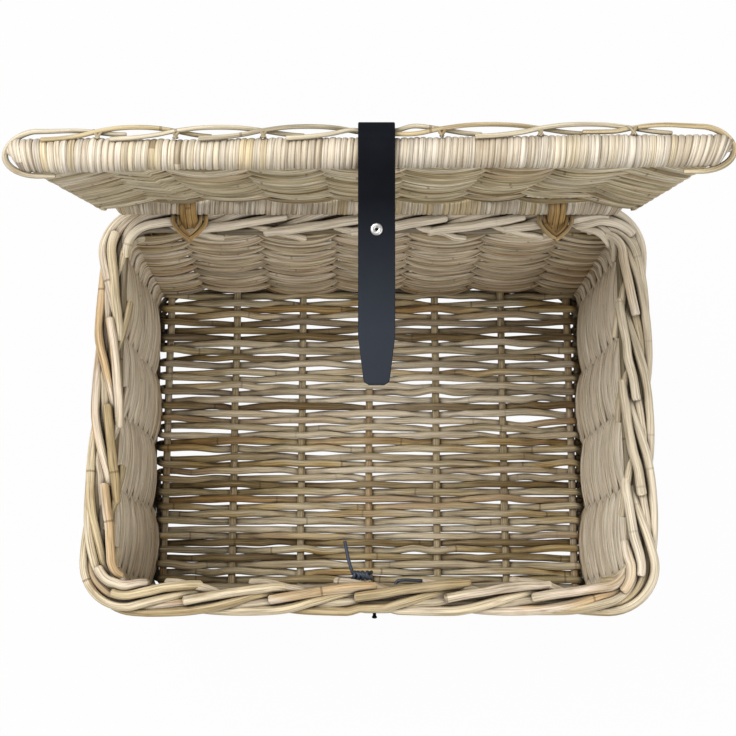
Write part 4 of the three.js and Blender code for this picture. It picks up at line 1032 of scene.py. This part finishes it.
def edging_end():
    """Round the right end of the bar, from below it to above it, as across and up."""
    turn = np.radians(np.linspace(-90, 80, 24))
    low = np.column_stack([np.linspace(197.0, 205.0, 4), np.full(4, -EDGING_LOW)])
    across = EDGING_NODES[-1] + (EDGING_END - EDGING_RADIUS - EDGING_NODES[-1]) * np.cos(turn)
    up = (EDGING_LOW + 2.4 * np.clip(np.sin(turn), 0, 1)) * np.sin(turn)
    return np.vstack([low, np.column_stack([across, up])])


def add_edging():
    strands = Strands()
    strap_x = STRAP_HINGE[0]
    t, arc_angle, arc_out = spline(EDGING_ARC, 56).T
    last = len(EDGING_NODES) - 2
    for i, (left, right) in enumerate(zip(EDGING_NODES, EDGING_NODES[1:])):
        x = left + (right - left) * t
        shape = 0.94 + 0.06 * rng.normal()
        near_strap = np.exp(-((x - strap_x) / 17.0) ** 4)
        out = arc_out * shape * (1 - near_strap) + np.minimum(arc_out, EDGING_PRESSED) * near_strap
        angle = arc_angle + (90 - arc_angle) * near_strap * 0.5
        if i in (0, last):
            # The end rods go round the end of the bar and finish below it
            sign, keep, flat = (-1, t > 0.35, 0.55) if i == 0 else (1, t < 0.65, 0.8)
            top = np.column_stack([x[keep], out[keep] * flat + EDGING_LOW])
            run = np.vstack([edging_end() * (sign, 1), top[::-sign]])[::-sign]
            x = run[:, 0]
            path = lid_point(x, LID_LENGTH, run[:, 1])
        else:
            path = edging_point(x, angle, out)
        slim = np.interp(np.abs(x), [200, 222], [0.72, 1.0])
        radius = EDGING_RADIUS * slim * (1 + smooth_noise(len(x), 0.03, 5))
        strands.add(path, LID_FORWARD, radius, radius, rng.uniform(0, 1), sides=10)
    for node in (n for n in EDGING_NODES[1:-1] if abs(n - strap_x) >= 20):
        # Two crossed bands bind the rods to the bar
        for side in (-1, 1):
            angle = np.linspace(58, 92, 12)
            x = node + side * 1.3 + np.linspace(-2.4, 1.6, 12) * side + 0.5 * rng.normal()
            out = np.interp(angle, [58, 70, 82, 92], [-1.6, -0.4, 1.6, 2.8])
            strands.add(edging_point(x, angle, out), LID_UP, 1.4, 0.8, rng.uniform(0.6, 1), soil=0.4)
    strands.build("scalloped_edging", EDGING_CANE, "lid", ["lid_edging_rod"], "pale_cane")


# Lashings: three bands round the rear bar and the border, and two nested loops that cross in front
LASHINGS = (("lashing_left", "hinge_lashing_left", 3.0), ("lashing_right", "hinge_lashing_right", 9.0))
LASHING_BANDS = ((-4.7, 0.1), (0.0, 0.5), (4.7, 0.25))


def add_lashings():
    border_y = CENTRE_Y + WALL_Y
    bar_y, bar_z, bar_reach = HINGE[1], HINGE[2], REAR_BAR_RADIUS + 1.6
    angle = np.linspace(0, 2 * math.pi, 49)[:-1]
    direction = np.stack([np.cos(angle), np.sin(angle)], -1)
    around_bar = np.array([bar_y, bar_z]) + bar_reach * direction
    around_rim = np.array([border_y + 4.0, BORDER_TOP - 9.5]) + 10.6 * direction
    bar_first = np.sum(around_bar * direction, 1) > np.sum(around_rim * direction, 1)
    loop = np.where(bar_first[:, None], around_bar, around_rim)
    ups = np.column_stack([np.zeros(len(angle)), direction])
    front_y, front_z = border_y - 15.0, BORDER_TOP - 3.0
    for name, node, shift in LASHINGS:
        middle = mm_middle(node)[0] + shift
        strands = Strands()
        for aside, tone in LASHING_BANDS:
            x = middle + aside + smooth_noise(len(loop), 0.3, 5) * np.sin(angle)
            strands.add(np.column_stack([x, loop]), ups, 2.5, 0.95, tone, closed=True)
        for side, nest in ((-1, 1), (1, 1), (-1, 0), (1, 0)):
            wide = 4.6 * nest
            knots = [
                (side * (9.0 + wide), bar_y - bar_reach * 0.7, bar_z - 6.5),
                (side * (8.8 + wide), front_y + 11.5, front_z + 5.0),
                (side * (6.4 + 0.8 * wide), front_y + 6.4 - 0.2 * wide, front_z + 5.6),
                (side * (2.2 + 0.4 * wide), front_y + 2.4 - 0.6 * wide, front_z + 5.2),
                (-side * 1.6, front_y - 0.2 - 0.7 * wide, front_z + 3.8),
            ]
            path = spline(knots, 30)
            path[:, 0] += middle
            strands.add(path, (0, -0.7, 0.7), 1.8, 1.0, rng.uniform(0, 0.8), soil=0.12)
        strands.build(name, LASH_CANE, "basket", [node], "amber_cane")


# Strap: round the front bar, over the edging, and free from the joint on. Its levels are heights
# from the lid's own plane, so the free end is below zero.
STRAP_WIDTH = 23.0
STRAP_THICK = 3.2
STRAP_CORNER = 0.75
STRAP_TAPER = 30.0
STRAP_TIP_WIDTH = 15.5
STRAP_TIP_CORNER = 3.0
STRAP_TOP = 19.2
STRAP_JOINT = -34.5
STRAP_TIP = -145.0
EYELET_LEVEL = -48.8


def rounded(distance, corner):
    """How far a round corner sets a band's edge in, at a distance from the band's end."""
    return corner * (1 - np.sqrt(np.clip(1 - (1 - np.clip(distance / corner, 0, 1)) ** 2, 0, 1)))


def slab_along(name, path, thick_direction, half_widths, half_thick, body, replaces):
    """A leather band along a path. Its section is a flat oblong with soft corners."""
    turn = np.radians([start + step for start in (0, 90, 180, 270) for step in (0, 30, 60, 90)])
    side_x, side_y = np.repeat((1, -1, -1, 1), 4), np.repeat((1, 1, -1, -1), 4)
    reach = side_x * (half_widths[:, None] - STRAP_CORNER) + STRAP_CORNER * np.cos(turn)
    thick = side_y * (half_thick - STRAP_CORNER) + STRAP_CORNER * np.sin(turn)
    points = path[:, None] + ACROSS * reach[..., None] + thick_direction[:, None] * thick[:, None]
    rings, sides = reach.shape
    caps = []
    for row, order in ((0, -1), (rings - 1, 1)):
        edge = row * sides + np.arange(sides)
        caps += [(edge[0], edge[a], edge[a + 1])[::order] for a in range(1, sides - 1)]
    obj = mesh_object(name, points, tube_quads(rings, sides)[:, [0, 3, 2, 1]], caps)
    drop = lengths_along(path)
    # Share of the way along the band, for the painted sheen towards its end
    add_attribute(obj, "sheen_share", np.repeat(drop / drop[-1], sides))
    return finish_piece(obj, LEATHER, body, replaces)


def add_strap():
    reach = FRONT_BAR_RADIUS + 0.3 + STRAP_THICK / 2
    outer = LID_LENGTH + reach
    inner = outer - 3.7
    level = STRAP_TOP - STRAP_THICK / 2
    knots = [(inner, STRAP_JOINT), (inner, (STRAP_JOINT - reach) / 2 - 4), (inner - 0.6, -reach - 4)]
    for turn in (-72, -100, -130, -160, -190, -215):
        a = math.radians(turn)
        knots.append((LID_LENGTH + reach * math.cos(a), reach * math.sin(a)))
    for turn in (128, 105, 85, 65, 45, 25):
        a = math.radians(turn)
        knots.append((LID_LENGTH + (reach if turn < 90 else level) * math.cos(a), level * math.sin(a)))
    knots += [(outer, 0.0), (outer, -15.0), (outer, STRAP_JOINT)]
    loop = spline(knots, 130)
    tail = np.linspace(STRAP_JOINT, STRAP_TIP, 60)[1:]
    line = np.vstack([loop, np.column_stack([np.full(len(tail), outer), tail])])
    path = lid_point(STRAP_X, line[:, 0], line[:, 1])
    thick_direction = unit(np.cross(unit(np.gradient(path, axis=0)), ACROSS))
    # The tip is narrower and round, and only the outer ply ends in it
    distance = np.where(np.arange(len(line)) >= len(loop) - 20, line[:, 1] - STRAP_TIP, STRAP_TAPER)
    taper = np.clip(distance / STRAP_TAPER, 0, 1)
    half = STRAP_TIP_WIDTH / 2 + (STRAP_WIDTH - STRAP_TIP_WIDTH) / 2 * taper
    half = half - rounded(distance, STRAP_TIP_CORNER)
    nodes = ["strap_loop", "strap_tail", "strap_rivet"]
    strap = slab_along("leather_strap", path, thick_direction, half, STRAP_THICK / 2, None, nodes)
    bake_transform(strap)
    add_eyelet(lid_point(STRAP_X, outer, EYELET_LEVEL))


def turned_piece(name, profile, centre, axis, material, body, replaces, sides=32):
    """A solid turned about an axis. The profile gives radius and distance along the axis, in millimetres."""
    axis = Vector(axis).normalized()
    first = axis.cross(Vector(ACROSS)).normalized()
    angle = 2 * math.pi * np.arange(sides) / sides
    ring = np.cos(angle)[:, None] * np.array(first) + np.sin(angle)[:, None] * np.array(axis.cross(first))
    radius, along = np.array(profile, float).T[..., None, None]
    points = np.asarray(centre, float) + along * np.array(axis) + radius * ring
    obj = mesh_object(name, points, tube_quads(len(profile), sides)[:, [0, 3, 2, 1]])
    return finish_piece(obj, material, body, replaces)


def add_eyelet(centre):
    """A press stud's cap, with a hollow behind for the ball, and a black core in the small hole in front as
    painted shade.
    """
    face = STRAP_THICK / 2
    ring = [(2.6, -face - 2.0), (3.9, -face - 2.0), (4.4, -face - 1.5), (4.4, -face - 0.1), (3.2, -face)]
    ring += [(3.2, face), (3.9, face), (4.0, face + 0.45), (3.3, face + 0.95), (1.4, face + 0.95)]
    ring += [(0.8, face + 0.4), (0.7, -face + 1.0), (2.6, -face + 0.8), (2.6, -face - 2.0)]
    turned_piece("strap_eyelet", ring, centre, LID_FORWARD, NICKEL, "strap", ["strap_snap"])
    # Painted shade: a black core fills the hole, standing in for the shade inside it
    core = [(0.02, -face + 1.0), (0.75, -face + 1.0), (0.75, face + 0.4), (0.02, face + 0.45)]
    turned_piece("strap_eyelet_core", core, centre, LID_FORWARD, BLACK_METAL, "strap", (), 24)


# Catch: a leather tab with a stud. The stud's ball stands out past the border, into the closed
# strap's eyelet.
TAB_CORNER = 5.5
STUD_TIP = -176.2
STUD_RISE = 1.7


def add_catch():
    low, high = mm_box("catch_tab")
    x, y, _ = (low + high) / 2
    z = np.linspace(high[2], low[2], 24)
    path = np.column_stack([np.full_like(z, x), np.full_like(z, y), z])
    half = (high[0] - low[0]) / 2 - rounded(z - low[2], TAB_CORNER)
    outward = np.tile((0, -1.0, 0), (len(z), 1))
    slab_along("catch_tab_leather", path, outward, half, (high[1] - low[1]) / 2, "basket", ["catch_tab"])
    low, high = mm_box("catch_stud")
    centre = (STRAP_X, high[1], (low[2] + high[2]) / 2 + STUD_RISE)
    depth = high[1] - STUD_TIP
    ball = [(0.02, 0), (3.7, 0), (4.0, 0.3), (3.7, 0.7), (1.4, 0.7), (1.4, depth - 2.4)]
    ball += [(1.9, depth - 2.0), (2.2, depth - 1.3), (1.9, depth - 0.5), (1.1, depth - 0.1), (0.02, depth)]
    front = (0, -1, 0)
    turned_piece("catch_ball_stud", ball, centre, front, BLACK_METAL, "basket", ["catch_stud"])


# The tie wire's route, as in the frame: from its free end inside the basket, out through the
# slot under the border, across the tab, back in, and along the inside of the rim
TIE_RADIUS = 1.4
TIE_PRESSED = 1.8
COIL_TURNS, COIL_LENGTH = 2.5, 15.0


def add_tie():
    tab_low, tab_high = mm_box("catch_tab")
    slot_z = STAKE_TOP - 2.1
    line_z = tab_high[2] - 2 * TIE_RADIUS
    inside = CENTRE_Y - (WALL_Y - 11.5)
    wall = CENTRE_Y - WALL_Y
    face = CENTRE_Y - (WALL_Y + 6.05)
    front = mm_box("catch_tie")[0][1] + TIE_RADIUS + TIE_PRESSED
    left, right = tab_low[0] - 3, tab_high[0] + 4
    knots = [
        (-20, inside + 33, slot_z + 1), (-18.5, inside + 26, slot_z), (-16.5, inside + 17, slot_z),
        (-13.5, inside + 8, slot_z), (left, inside, slot_z), (left, wall, slot_z), (left, face, slot_z),
        (left + 1, front + 1.5, line_z), (left + 3, front, line_z), (right - 3, front, line_z),
        (right - 1, front + 1.5, line_z), (right, face, slot_z), (right, wall, slot_z),
        (right + 1, inside - 1, slot_z), (right + 6, inside + 1.5, slot_z + 1),
        (right + 22, inside + 1, slot_z + 1),
    ]
    strands = Strands().add(spline(knots, 150), UP, TIE_RADIUS, TIE_RADIUS, 0.5, sides=12)
    twist = np.linspace(0, 2 * math.pi * COIL_TURNS, 60)
    x = -14.0 + COIL_LENGTH * np.linspace(0, 1, 60) + 1.2 * np.sin(1.7 * twist)
    for phase in (0, math.pi):
        y = inside + 5.2 + 2.8 * np.cos(twist + phase)
        z = slot_z + 2.4 + 2.4 * np.sin(twist + phase)
        strands.add(np.column_stack([x, y, z]), UP, TIE_RADIUS, TIE_RADIUS, 0.5, sides=10)
    strands.build("tie_wire", COATED_WIRE, "basket", ["catch_tie"], "coated_wire")


add_camera()
add_stage()
add_uprights()
add_foot()
add_floor()
add_walls()
add_border()
add_lid_frame()
add_lid_panel()
add_lid_bars()
add_edging()
add_lashings()
add_strap()
add_catch()
add_tie()
